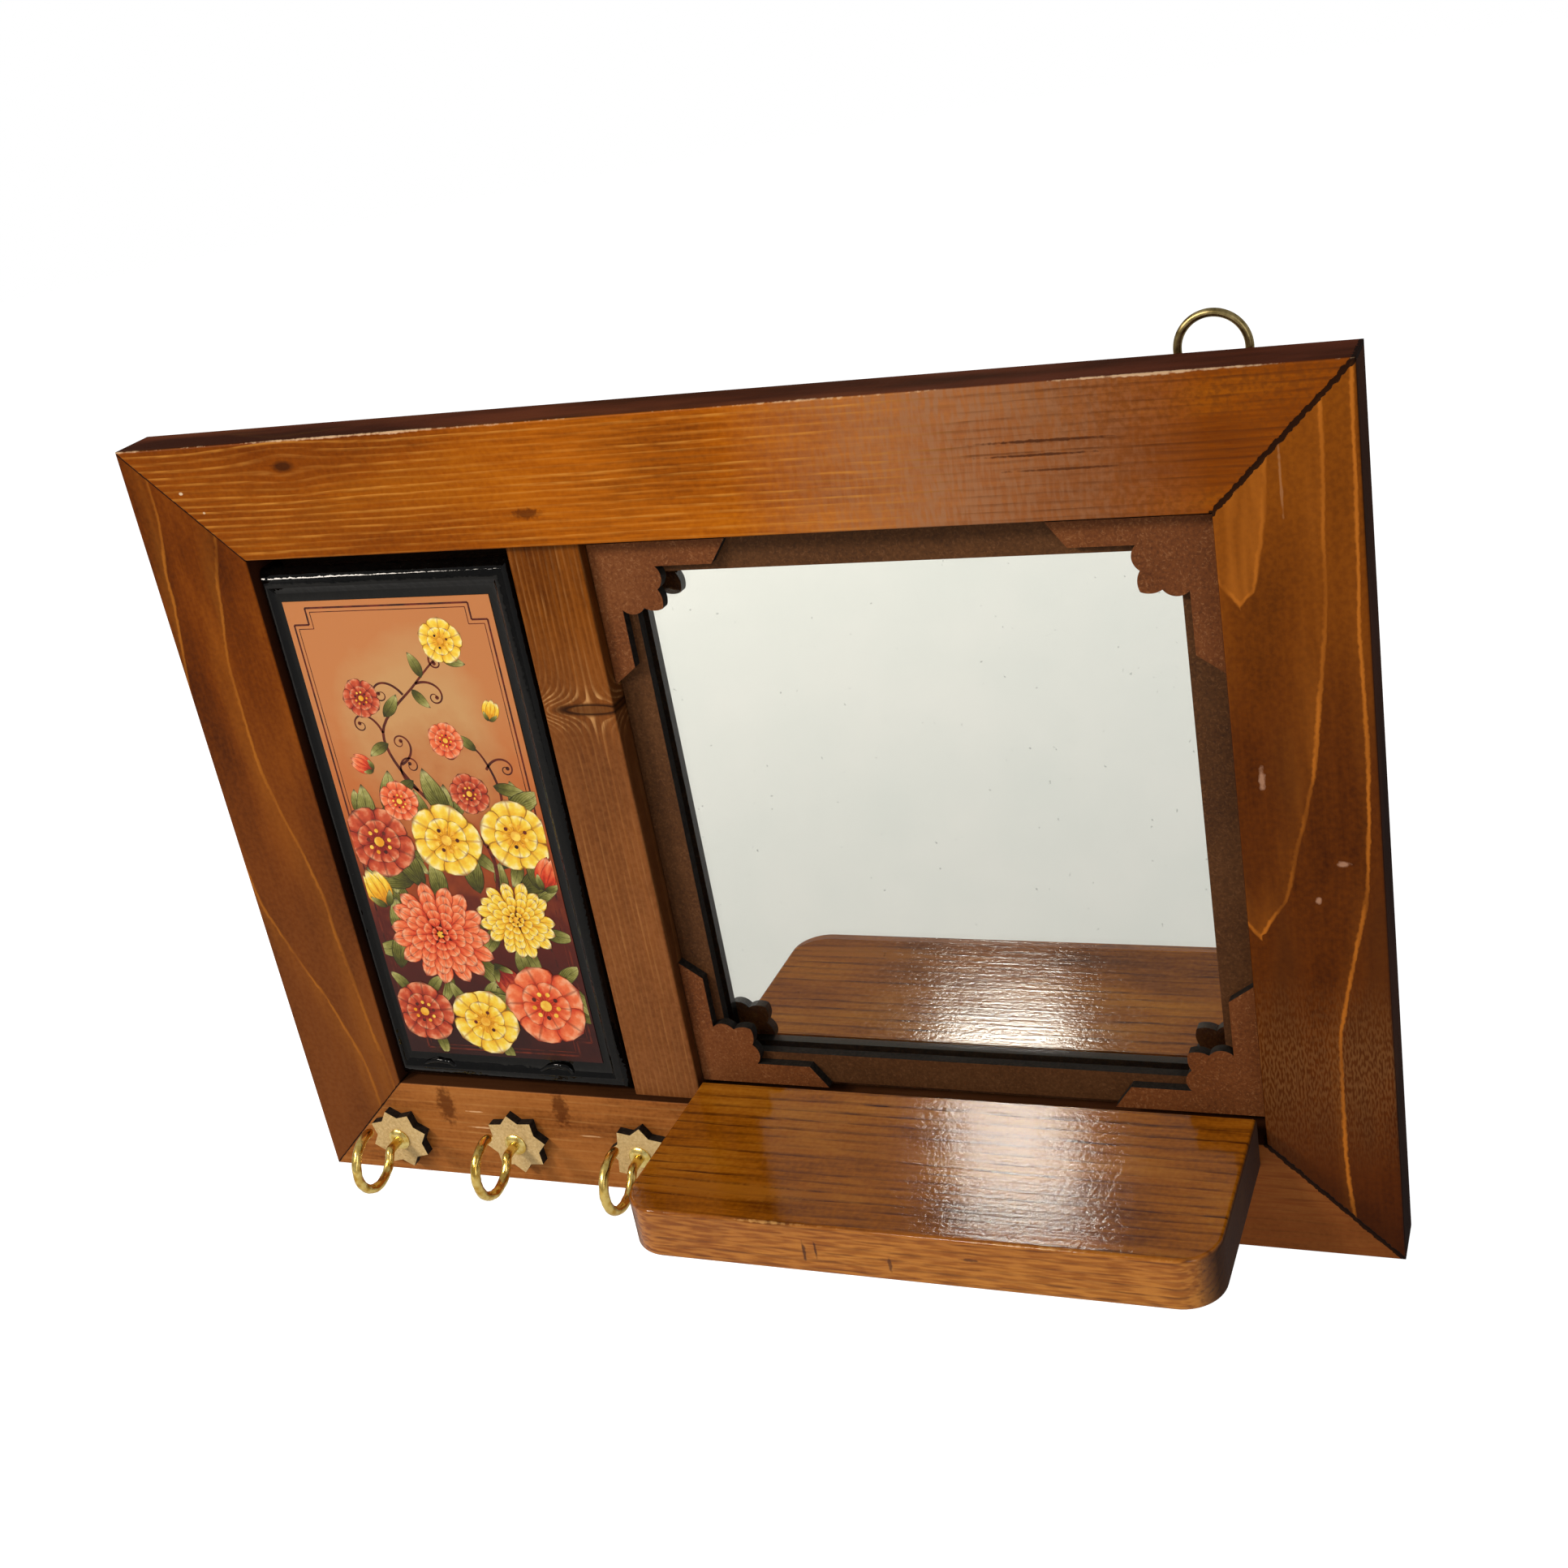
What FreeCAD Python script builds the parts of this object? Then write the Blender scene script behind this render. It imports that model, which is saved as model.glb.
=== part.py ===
import FreeCAD, Part
import math
import os

import Sketcher

# A wall mirror with a picture panel, a small shelf and three key hooks in a mitred wooden frame.
# Millimetres. The origin is on the back board's back face, at the middle of the frame. X runs to the
# viewer's right, Y into the wall and Z up, so the front of the frame faces -Y.

SIZES = {
    # frame members, mitred at the corners, and the divider between the two bays
    "frame_width": 400,
    "frame_height": 287,
    "member_width": 40,
    "frame_depth": 18,
    "edge_round": 0.8,
    "divider_width": 26,
    "divider_offset": 49.7,
    "divider_recess": 3.5,
    "dowel_diameter": 6,
    "dowel_length": 30,
    "v_nail_leg": 7,
    "v_nail_thickness": 0.6,
    "v_nail_depth": 10,
    # back board and the pins that hold it
    "board_thickness": 4,
    "board_overlap": 12,
    "pin_diameter": 1.2,
    "pin_length": 14,
    "pin_head_diameter": 2.6,
    "pin_head_height": 0.8,
    "pin_inset": 3,
    # picture panel in the left bay: a routed board with a bead, a slope and a sunk field
    "panel_recess": 2,
    "panel_side_gap": 0.5,
    "panel_top_gap": 4.7,
    "panel_bottom_gap": 1.4,
    "bead_radius": 2.6,
    "crest_inset": 3,
    "field_depth": 2,
    "field_left_margin": 6,
    "field_right_margin": 9.6,
    "field_top_margin": 11.3,
    "field_bottom_margin": 10.7,
    "print_thickness": 0.3,
    "print_gap": 0.2,
    # mirror and its two layers of cut fretwork in the right bay
    "insert_left_gap": 0.4,
    "insert_right_gap": 1.4,
    "insert_top_gap": 2.6,
    "insert_bottom_gap": 5.4,
    "silvering_thickness": 0.1,
    "glass_thickness": 3,
    "fret_thickness": 3.6,
    "border_width": 11,
    "arm_width": 8,
    "arm_length": 47.5,
    "arm_slant": 5.8,
    "lobe_start": 14.1,
    "notch_along": 13.6,
    "notch_across": 7.7,
    "lobe_tip": 14.1,
    "lobe_radius": 4.95,
    "petal_radius": 6.8,
    # shelf
    "shelf_width": 190.8,
    "shelf_depth": 71,
    "shelf_thickness": 18,
    "shelf_corner_radius": 13,
    "shelf_edge_round": 1.2,
    "shelf_rise": 9.5,
    "shelf_left_gap": 3.4,
    "nail_diameter": 1.8,
    "nail_length": 45,
    "nail_head_diameter": 4,
    "nail_head_height": 1,
    # key hooks with their star washers and collars
    "hook_overhang": 4.6,
    "hook_divider_shift": 0.3,
    "hook_height_left": 16.8,
    "hook_height_middle": 18.8,
    "hook_height_right": 17.7,
    "star_square": 17.6,
    "star_thickness": 3.6,
    "collar_diameter": 8.6,
    "collar_thickness": 1.5,
    "collar_edge": 0.5,
    "collar_dome_radius": 4,
    "wire_diameter": 3.6,
    "shank_straight": 3.8,
    "bend_radius": 3,
    "loop_radius": 10.7,
    "loop_rise": 3.1,
    "loop_end_angle": 108,
    "tip_round": 1.4,
    "hook_screw_diameter": 3,
    "hook_screw_length": 14,
    "hook_screw_point": 3,
    # hanging rings in their straps on the back of the top rail
    "hanger_inset": 39.6,
    "hanger_drop": 8,
    "strap_width": 8,
    "strap_length": 16,
    "strap_thickness": 0.7,
    "ring_wire": 2.4,
    "ring_radius": 9.75,
    "ring_corner_radius": 3,
    "ring_side_gap": 0.3,
    "screw_diameter": 2.5,
    "screw_length": 12,
    "screw_point": 2.5,
    "screw_head_diameter": 6,
    "screw_head_height": 1.4,
    "screw_slot_width": 0.8,
    "screw_slot_depth": 0.7,
    "screw_drop": 8,
    # fits, and how far a cutting shape runs past what it cuts
    "fit_gap": 0.05,
    "running_gap": 0.05,
    "cut_overrun": 1,
}

# Places of repeated fasteners, as shares of the piece that carries them, and turns in degrees.
V_NAIL_SHARES = (0.42, 0.72)
PIN_ACROSS_SHARES = (-0.84, 0, 0.84)
PIN_UP_SHARES = (-0.45, 0.45)
SHELF_NAIL_SHARES = (-0.36, 0, 0.36)
STAR_TURNS = {"left": 15, "middle": 5, "right": 36}
STAR_POINTS = 8
HALF_TURN = 180
FULL_TURN = 360
SIDES = {"left": -1, "right": 1}
ENDS = {"bottom": -1, "top": 1}

doc = FreeCAD.newDocument("mirror_with_key_hooks")
sheet = doc.addObject("Spreadsheet::Sheet", "sizes")
for row, (alias, number) in enumerate(SIZES.items(), start=1):
    sheet.set(f"A{row}", alias)
    sheet.set(f"B{row}", str(number))
    sheet.setAlias(f"B{row}", alias)
doc.recompute()

# Places that several pieces share, as expressions over the sheet.
HALF_WIDTH = "(sizes.frame_width / 2)"
HALF_HEIGHT = "(sizes.frame_height / 2)"
OPENING_X = f"({HALF_WIDTH} - sizes.member_width)"
OPENING_Z = f"({HALF_HEIGHT} - sizes.member_width)"
FRAME_BACK = "(-sizes.board_thickness)"
FRAME_FRONT = f"({FRAME_BACK} - sizes.frame_depth)"
DIVIDER_LEFT = "(-sizes.divider_offset - sizes.divider_width / 2)"
DIVIDER_RIGHT = "(-sizes.divider_offset + sizes.divider_width / 2)"
DIVIDER_DEPTH = "(sizes.frame_depth - sizes.divider_recess)"

BOARD_X = f"({OPENING_X} + sizes.board_overlap)"
BOARD_Z = f"({OPENING_Z} + sizes.board_overlap)"

PANEL_LEFT = f"(-{OPENING_X} + sizes.panel_side_gap)"
PANEL_RIGHT = f"({DIVIDER_LEFT} - sizes.panel_side_gap)"
PANEL_BOTTOM = f"(-{OPENING_Z} + sizes.panel_bottom_gap)"
PANEL_TOP = f"({OPENING_Z} - sizes.panel_top_gap)"
PANEL_DEPTH = "(sizes.frame_depth - sizes.panel_recess)"
FIELD_LEFT = f"({PANEL_LEFT} + sizes.field_left_margin)"
FIELD_RIGHT = f"({PANEL_RIGHT} - sizes.field_right_margin)"
FIELD_BOTTOM = f"({PANEL_BOTTOM} + sizes.field_bottom_margin)"
FIELD_TOP = f"({PANEL_TOP} - sizes.field_top_margin)"
FIELD_FACE = f"({PANEL_DEPTH} - sizes.field_depth)"

INSERT_LEFT = f"({DIVIDER_RIGHT} + sizes.insert_left_gap)"
INSERT_RIGHT = f"({OPENING_X} - sizes.insert_right_gap)"
INSERT_BOTTOM = f"(-{OPENING_Z} + sizes.insert_bottom_gap)"
INSERT_TOP = f"({OPENING_Z} - sizes.insert_top_gap)"
GLASS_BACK = f"({FRAME_BACK} - sizes.silvering_thickness)"
BACKING_BACK = f"({GLASS_BACK} - sizes.glass_thickness)"
FRET_BACK = f"({BACKING_BACK} - sizes.fret_thickness)"

SHELF_LEFT = f"({DIVIDER_RIGHT} + sizes.shelf_left_gap)"
SHELF_CENTRE = f"({SHELF_LEFT} + sizes.shelf_width / 2)"
SHELF_RIGHT = f"({SHELF_LEFT} + sizes.shelf_width)"
SHELF_BOTTOM = f"(-{OPENING_Z} + sizes.shelf_rise - sizes.shelf_thickness)"

FIRST_HOOK_X = f"(-{OPENING_X} - sizes.hook_overhang)"
LAST_HOOK_X = f"({DIVIDER_LEFT} + sizes.hook_divider_shift)"
HOOK_PLACES = {
    "left": (FIRST_HOOK_X, f"(-{HALF_HEIGHT} + sizes.hook_height_left)"),
    "middle": (f"(({FIRST_HOOK_X} + {LAST_HOOK_X}) / 2)", f"(-{HALF_HEIGHT} + sizes.hook_height_middle)"),
    "right": (LAST_HOOK_X, f"(-{HALF_HEIGHT} + sizes.hook_height_right)"),
}

HANGER_X = f"({HALF_WIDTH} - sizes.hanger_inset)"
HANGER_Z = f"({HALF_HEIGHT} - sizes.hanger_drop)"
CURL_RADIUS = "(sizes.ring_wire / 2 + sizes.running_gap + sizes.strap_thickness)"

ALONG = {
    "+X": FreeCAD.Rotation(FreeCAD.Vector(0, 1, 0), 90),
    "+Y": FreeCAD.Rotation(FreeCAD.Vector(1, 0, 0), -90),
    "-Y": FreeCAD.Rotation(FreeCAD.Vector(1, 0, 0), 90),
    "+Z": FreeCAD.Rotation(),
}
TOUCH = 1e-6

pieces = []


def value(expression):
    """The number that an expression over the sheet comes to."""
    return float(sheet.evalExpression(expression))


def place(item, x, y, z):
    """Ties the item's position to the sheet."""
    item.setExpression("Placement.Base.x", x)
    item.setExpression("Placement.Base.y", y)
    item.setExpression("Placement.Base.z", z)


def keep(item, label):
    """Makes the item a piece of its own, under its label."""
    item.Label = label
    pieces.append(item)
    return item


# Sketches and solid features

def new_body(name, x, y, z, rotation=None):
    """An empty body whose own origin lies at x, y, z."""
    body = doc.addObject("PartDesign::Body", name)
    if rotation is not None:
        body.Placement = FreeCAD.Placement(FreeCAD.Vector(), rotation)
    place(body, x, y, z)
    return body


def new_sketch(body, role, offset="0"):
    """A sketch on one of the body's own planes, offset along that plane's normal."""
    sketch = body.newObject("Sketcher::SketchObject", f"{body.Name}_outline")
    plane = next(feature for feature in body.Origin.OriginFeatures if feature.Role == role)
    sketch.AttachmentSupport = [(plane, "")]
    sketch.MapMode = "FlatFace"
    sketch.setExpression("AttachmentOffset.Base.z", offset)
    return sketch


def add_size(sketch, constraint, expression):
    """Adds a constraint and ties its value to the sheet."""
    index = sketch.addConstraint(constraint)
    sketch.setExpression(f"Constraints[{index}]", expression)


def lock_point(sketch, geometry, position, across, up):
    """Holds one end or centre of a sketch line at a place given by two expressions."""
    ends = (-1, 1, geometry, position)
    add_size(sketch, Sketcher.Constraint("DistanceX", *ends, value(across)), across)
    add_size(sketch, Sketcher.Constraint("DistanceY", *ends, value(up)), up)


def draw(sketch, corners, closed=True):
    """Draws straight sides and arcs through the corners.

    A corner is (across, up), or (across, up, radius, turn) where an arc leaves it: turn is 1 for an
    anticlockwise arc and -1 for a clockwise one. No arc is wider than a half circle.
    """
    points = [FreeCAD.Vector(value(corner[0]), value(corner[1]), 0) for corner in corners]
    side_count = len(corners) if closed else len(corners) - 1
    sides = []
    for index in range(side_count):
        start = points[index]
        end = points[(index + 1) % len(points)]
        if len(corners[index]) == 2:
            geometry = sketch.addGeometry(Part.LineSegment(start, end))
            sides.append((geometry, 1, 2))
            continue
        radius, turn = corners[index][2:]
        chord = end - start
        left = FreeCAD.Vector(-chord.y, chord.x, 0).normalize() * turn
        to_centre = math.sqrt(max(value(radius) ** 2 - chord.Length ** 2 / 4, 0))
        bulge = (start + end) / 2 + left * (to_centre - value(radius))
        ends = (start, end) if turn > 0 else (end, start)
        geometry = sketch.addGeometry(Part.Arc(ends[0], bulge, ends[1]))
        sides.append((geometry, 1, 2) if turn > 0 else (geometry, 2, 1))
        add_size(sketch, Sketcher.Constraint("Radius", geometry, value(radius)), radius)
    for index in range(side_count if closed else side_count - 1):
        following = sides[(index + 1) % side_count]
        join = (sides[index][0], sides[index][2], following[0], following[1])
        sketch.addConstraint(Sketcher.Constraint("Coincident", *join))
    for side, corner in zip(sides, corners):
        lock_point(sketch, side[0], side[1], corner[0], corner[1])
    if not closed:
        lock_point(sketch, sides[-1][0], sides[-1][2], corners[-1][0], corners[-1][1])


def draw_circle(sketch, across, up, radius):
    """Draws a circle whose centre and radius follow the sheet."""
    centre = FreeCAD.Vector(value(across), value(up), 0)
    circle = Part.Circle(centre, FreeCAD.Vector(0, 0, 1), value(radius))
    geometry = sketch.addGeometry(circle)
    lock_point(sketch, geometry, 3, across, up)
    add_size(sketch, Sketcher.Constraint("Radius", geometry, value(radius)), radius)


def rectangle(left, bottom, right, top):
    """The corners of an upright rectangle, anticlockwise."""
    return [(left, bottom), (right, bottom), (right, top), (left, top)]


def pad(body, sketch, length):
    """Raises the sketch along its normal."""
    feature = body.newObject("PartDesign::Pad", f"{body.Name}_pad")
    feature.Profile = sketch
    feature.setExpression("Length", length)
    doc.recompute()
    return feature


def turn_about_y(body, corners):
    """Turns a half section, drawn as (y, z) corners, about the body's Y axis."""
    sketch = new_sketch(body, "YZ_Plane")
    draw(sketch, corners)
    feature = body.newObject("PartDesign::Revolution", f"{body.Name}_turned")
    feature.Profile = sketch
    feature.ReferenceAxis = (sketch, ["H_Axis"])
    feature.Angle = FULL_TURN
    doc.recompute()
    return feature


def bend_wire(body, path_role, corners, closed, section_role, diameter):
    """Runs a round wire along a path that starts at the body's origin."""
    path = new_sketch(body, path_role)
    draw(path, corners, closed)
    section = new_sketch(body, section_role)
    draw_circle(section, "0", "0", f"{diameter} / 2")
    feature = body.newObject("PartDesign::AdditivePipe", f"{body.Name}_wire")
    feature.Profile = section
    feature.Spine = (path, [])
    doc.recompute()
    return feature


def round_edges(body, chosen, radius):
    """Rounds the body's edges that the chosen test picks."""
    base = body.Tip
    names = [f"Edge{index}" for index, edge in enumerate(base.Shape.Edges, start=1) if chosen(edge)]
    feature = body.newObject("PartDesign::Fillet", f"{body.Name}_rounding")
    feature.Base = (base, names)
    feature.setExpression("Radius", radius)
    doc.recompute()
    return feature


def at(edge, axis, expression):
    """Whether the whole edge lies at one value along an axis, such as y."""
    level = value(expression)
    return all(abs(getattr(vertex.Point, axis) - level) < TOUCH for vertex in edge.Vertexes)


def runs_along(edge, axis):
    """Whether a straight edge is parallel to an axis."""
    first, last = edge.Vertexes[0].Point, edge.Vertexes[-1].Point
    span = last - first
    return span.Length > TOUCH and abs(abs(getattr(span, axis)) - span.Length) < TOUCH


def flat_piece(label, corners, back, thickness):
    """A flat piece cut to an outline in the plane of the wall, from its back face forwards."""
    body = new_body(label, "0", back, "0")
    sketch = new_sketch(body, "XZ_Plane")
    draw(sketch, corners)
    pad(body, sketch, thickness)
    return body


# Rods, blocks and groups

def rod(name, diameter, length, x, y, z, along):
    """A round rod that starts at x, y, z."""
    cylinder = doc.addObject("Part::Cylinder", name)
    cylinder.Placement = FreeCAD.Placement(FreeCAD.Vector(), ALONG[along])
    cylinder.setExpression("Radius", f"({diameter}) / 2")
    cylinder.setExpression("Height", length)
    place(cylinder, x, y, z)
    return cylinder


def block(name, lengths, x, y, z):
    """A rectangular block with its lowest corner at x, y, z."""
    box = doc.addObject("Part::Box", name)
    for side, length in zip(("Length", "Width", "Height"), lengths):
        box.setExpression(side, length)
    place(box, x, y, z)
    return box


def join(name, items):
    """Several shapes made into one solid."""
    fused = doc.addObject("Part::MultiFuse", name)
    fused.Shapes = items
    return fused


def group(name, items):
    """Several separate solids kept together."""
    compound = doc.addObject("Part::Compound", name)
    compound.Links = items
    return compound


def cut(name, base, tool):
    """The base with the tool's shape taken out of it."""
    result = doc.addObject("Part::Cut", name)
    result.Base = base
    result.Tool = tool
    return result


def headed_nail(name, shank, length, head, head_height, x, y, z, gap="0", overrun="0"):
    """A nail or pin driven towards the front, its head flush at y; a gap makes the hole for one."""
    rods = [
        rod(f"{name}_shank", f"{shank} + 2 * {gap}", f"{length} + {gap}", x, y, z, "-Y"),
        rod(f"{name}_head", f"{head} + 2 * {gap}", f"{head_height} + {overrun}",
            x, f"{y} + {overrun}", z, "-Y"),
    ]
    return join(name, rods)


# Fasteners, each with the hole that it sits in

holes = []


def add_headed_nails(label, size_name, places):
    """A set of headed nails or pins at the given places, and their holes."""
    sizes = [f"sizes.{size_name}_{part}" for part in ("diameter", "length", "head_diameter", "head_height")]
    nails = []
    for index, (x, y, z) in enumerate(places):
        nails.append(headed_nail(f"{label}_{index}", *sizes, x, y, z))
        hole = headed_nail(f"{label}_hole_{index}", *sizes, x, y, z, "sizes.fit_gap", "sizes.cut_overrun")
        holes.append(hole)
    keep(group(f"{label}_group", nails), label)


def v_nail(name, apex_x, apex_z, side, end, gap):
    """A bent strip across a mitre: one leg points to the frame's side, the other to its end."""
    thickness = f"(sizes.v_nail_thickness + 2 * {gap})"
    leg = f"(sizes.v_nail_leg + 2 * {gap})"
    depth = f"(sizes.v_nail_depth + {gap})"
    y = f"{FRAME_BACK} - {depth}"
    inner_x = f"{apex_x} - {thickness} / 2" if side > 0 else f"{apex_x} + {thickness} / 2 - {leg}"
    inner_z = f"{apex_z} - {thickness} / 2" if end > 0 else f"{apex_z} + {thickness} / 2 - {leg}"
    legs = [
        block(f"{name}_across", (leg, depth, thickness), inner_x, y, f"{apex_z} - {thickness} / 2"),
        block(f"{name}_up", (thickness, depth, leg), f"{apex_x} - {thickness} / 2", y, inner_z),
    ]
    return join(name, legs)


def add_corner_v_nails():
    """Two bent strips in the back of each mitre, driven flush."""
    nails = []
    for side in SIDES.values():
        for end in ENDS.values():
            for share in V_NAIL_SHARES:
                x = f"{side} * ({OPENING_X} + {share} * sizes.member_width)"
                z = f"{end} * ({OPENING_Z} + {share} * sizes.member_width)"
                name = f"v_nail_{len(nails)}"
                nails.append(v_nail(name, x, z, side, end, "0"))
                holes.append(v_nail(f"{name}_slot", x, z, side, end, "sizes.fit_gap"))
    keep(group("corner_v_nail_group", nails), "corner_v_nails")


def add_divider_dowels():
    """A dowel at each end of the divider, half of it in the rail."""
    dowels = []
    y = f"{FRAME_BACK} - {DIVIDER_DEPTH} / 2"
    for name, end in ENDS.items():
        z = f"{end} * {OPENING_Z} - sizes.dowel_length / 2"
        dowels.append(rod(f"dowel_{name}", "sizes.dowel_diameter", "sizes.dowel_length",
                          "-sizes.divider_offset", y, z, "+Z"))
        holes.append(rod(f"dowel_{name}_hole", "sizes.dowel_diameter + 2 * sizes.fit_gap",
                         "sizes.dowel_length + 2 * sizes.fit_gap",
                         "-sizes.divider_offset", y, f"{z} - sizes.fit_gap", "+Z"))
    keep(group("divider_dowel_group", dowels), "divider_dowels")


def add_hook_pilot_holes():
    """The holes in the bottom rail for the hooks' own screws."""
    for name, (x, z) in HOOK_PLACES.items():
        holes.append(rod(f"hook_pilot_{name}", "sizes.hook_screw_diameter + 2 * sizes.fit_gap",
                         "sizes.hook_screw_length + sizes.fit_gap + sizes.cut_overrun",
                         x, f"{FRAME_FRONT} - sizes.cut_overrun", z, "+Y"))


def add_hanger_screws():
    """A slotted round-head screw through each hanging strap into the top rail."""
    screws = []
    z = f"{HANGER_Z} - sizes.screw_drop"
    seat = f"{FRAME_BACK} + sizes.strap_thickness"
    head_radius = "(sizes.screw_head_diameter / 2)"
    dome = f"(({head_radius} ^ 2 + sizes.screw_head_height ^ 2) / (2 * sizes.screw_head_height))"
    section = [
        ("-sizes.screw_length", "0"),
        ("sizes.screw_point - sizes.screw_length", "sizes.screw_diameter / 2"),
        ("0", "sizes.screw_diameter / 2"),
        ("0", head_radius, dome, -1),
        ("sizes.screw_head_height", "0"),
    ]
    for side, sign in SIDES.items():
        x = f"{sign} * {HANGER_X}"
        body = new_body(f"hanger_screw_{side}", x, seat, z)
        turn_about_y(body, section)
        whole = body.Tip.Shape.Volume
        slot = new_sketch(body, "XZ_Plane", "-sizes.screw_head_height")
        half_slot = "sizes.screw_slot_width / 2"
        draw(slot, rectangle(f"-{head_radius}", f"-{half_slot}", head_radius, half_slot))
        pocket = body.newObject("PartDesign::Pocket", f"{body.Name}_slot")
        pocket.Profile = slot
        pocket.Reversed = True
        pocket.setExpression("Length", "sizes.screw_slot_depth")
        doc.recompute()
        if body.Tip.Shape.Volume >= whole:
            raise ValueError(f"the slot of {body.Name} cuts nothing")
        screws.append(body)
        holes.append(rod(f"hanger_pilot_{side}", "sizes.screw_diameter + 2 * sizes.fit_gap",
                         "sizes.screw_length + sizes.fit_gap + sizes.cut_overrun",
                         x, f"{seat} + sizes.cut_overrun", z, "-Y"))
    keep(group("hanger_screw_group", screws), "hanger_screws")


pin_places = []
for end in ENDS.values():
    pin_z = f"{end} * ({BOARD_Z} - sizes.pin_inset)"
    pin_places += [(f"{share} * {BOARD_X}", "0", pin_z) for share in PIN_ACROSS_SHARES]
for side in SIDES.values():
    pin_x = f"{side} * ({BOARD_X} - sizes.pin_inset)"
    pin_places += [(pin_x, "0", f"{share} * {BOARD_Z}") for share in PIN_UP_SHARES]

shelf_nail_z = f"({SHELF_BOTTOM} - {OPENING_Z}) / 2"
shelf_nail_places = [
    (f"{SHELF_CENTRE} + {share} * sizes.shelf_width", FRAME_BACK, shelf_nail_z)
    for share in SHELF_NAIL_SHARES
]

add_headed_nails("back_board_pins", "pin", pin_places)
add_headed_nails("shelf_nails", "nail", shelf_nail_places)
add_corner_v_nails()
add_divider_dowels()
add_hook_pilot_holes()
add_hanger_screws()
hole_set = group("hole_set", holes)


# Frame, divider and back board

def add_member(label, corners, axis):
    """A frame member with its front edges eased and its fastener holes cut."""
    blank = flat_piece(f"{label}_blank", corners, FRAME_BACK, "sizes.frame_depth")
    front = "-sizes.frame_depth"
    round_edges(blank, lambda edge: at(edge, "y", front) and runs_along(edge, axis), "sizes.edge_round")
    keep(cut(label, blank, hole_set), label)


for name, end in ENDS.items():
    outer = f"{end} * {HALF_HEIGHT}"
    inner = f"{end} * {OPENING_Z}"
    rail = [(f"-{HALF_WIDTH}", outer), (HALF_WIDTH, outer), (OPENING_X, inner), (f"-{OPENING_X}", inner)]
    add_member(f"{name}_rail", rail, "x")
for name, side in SIDES.items():
    outer = f"{side} * {HALF_WIDTH}"
    inner = f"{side} * {OPENING_X}"
    stile = [(outer, f"-{HALF_HEIGHT}"), (outer, HALF_HEIGHT), (inner, OPENING_Z), (inner, f"-{OPENING_Z}")]
    add_member(f"{name}_stile", stile, "z")

divider_outline = rectangle(DIVIDER_LEFT, f"-{OPENING_Z}", DIVIDER_RIGHT, OPENING_Z)
divider = flat_piece("divider_blank", divider_outline, FRAME_BACK, DIVIDER_DEPTH)
divider_front = f"-{DIVIDER_DEPTH}"
round_edges(divider, lambda edge: at(edge, "y", divider_front) and runs_along(edge, "z"),
            "sizes.edge_round")
keep(cut("divider_stile", divider, hole_set), "divider_stile")

board_outline = rectangle(f"-{BOARD_X}", f"-{BOARD_Z}", BOARD_X, BOARD_Z)
board = flat_piece("back_board_blank", board_outline, "0", "sizes.board_thickness")
keep(cut("back_board", board, hole_set), "back_board")


# Picture panel

def add_picture_panel():
    """A board with a rounded bead round its edge and a sunk field with sloping sides for the print."""
    outline = rectangle(PANEL_LEFT, PANEL_BOTTOM, PANEL_RIGHT, PANEL_TOP)
    body = flat_piece("picture_panel", outline, FRAME_BACK, PANEL_DEPTH)
    whole = body.Tip.Shape.Volume
    crest = new_sketch(body, "XZ_Plane", PANEL_DEPTH)
    draw(crest, rectangle(f"{PANEL_LEFT} + sizes.crest_inset", f"{PANEL_BOTTOM} + sizes.crest_inset",
                          f"{PANEL_RIGHT} - sizes.crest_inset", f"{PANEL_TOP} - sizes.crest_inset"))
    field = new_sketch(body, "XZ_Plane", FIELD_FACE)
    draw(field, rectangle(FIELD_LEFT, FIELD_BOTTOM, FIELD_RIGHT, FIELD_TOP))
    doc.recompute()
    slope = body.newObject("PartDesign::SubtractiveLoft", "picture_panel_field")
    slope.Profile = crest
    slope.Sections = [field]
    slope.Ruled = True
    doc.recompute()
    if body.Tip.Shape.Volume >= whole:
        raise ValueError("the panel's field cuts nothing")
    sides = ((PANEL_LEFT, "x"), (PANEL_RIGHT, "x"), (PANEL_BOTTOM, "z"), (PANEL_TOP, "z"))
    front = f"-{PANEL_DEPTH}"

    def rims_the_front(edge):
        return at(edge, "y", front) and any(at(edge, axis, side) for side, axis in sides)

    round_edges(body, rims_the_front, "sizes.bead_radius")
    keep(body, "picture_panel")


add_picture_panel()
print_outline = rectangle(f"{FIELD_LEFT} + sizes.print_gap", f"{FIELD_BOTTOM} + sizes.print_gap",
                          f"{FIELD_RIGHT} - sizes.print_gap", f"{FIELD_TOP} - sizes.print_gap")
print_back = f"{FRAME_BACK} - {FIELD_FACE}"
keep(flat_piece("print_sheet", print_outline, print_back, "sizes.print_thickness"), "print_sheet")


# Mirror and fretwork

insert_outline = rectangle(INSERT_LEFT, INSERT_BOTTOM, INSERT_RIGHT, INSERT_TOP)
silvering = flat_piece("mirror_silvering", insert_outline, FRAME_BACK, "sizes.silvering_thickness")
keep(silvering, "mirror_silvering")
keep(flat_piece("mirror_glass", insert_outline, GLASS_BACK, "sizes.glass_thickness"), "mirror_glass")


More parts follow.
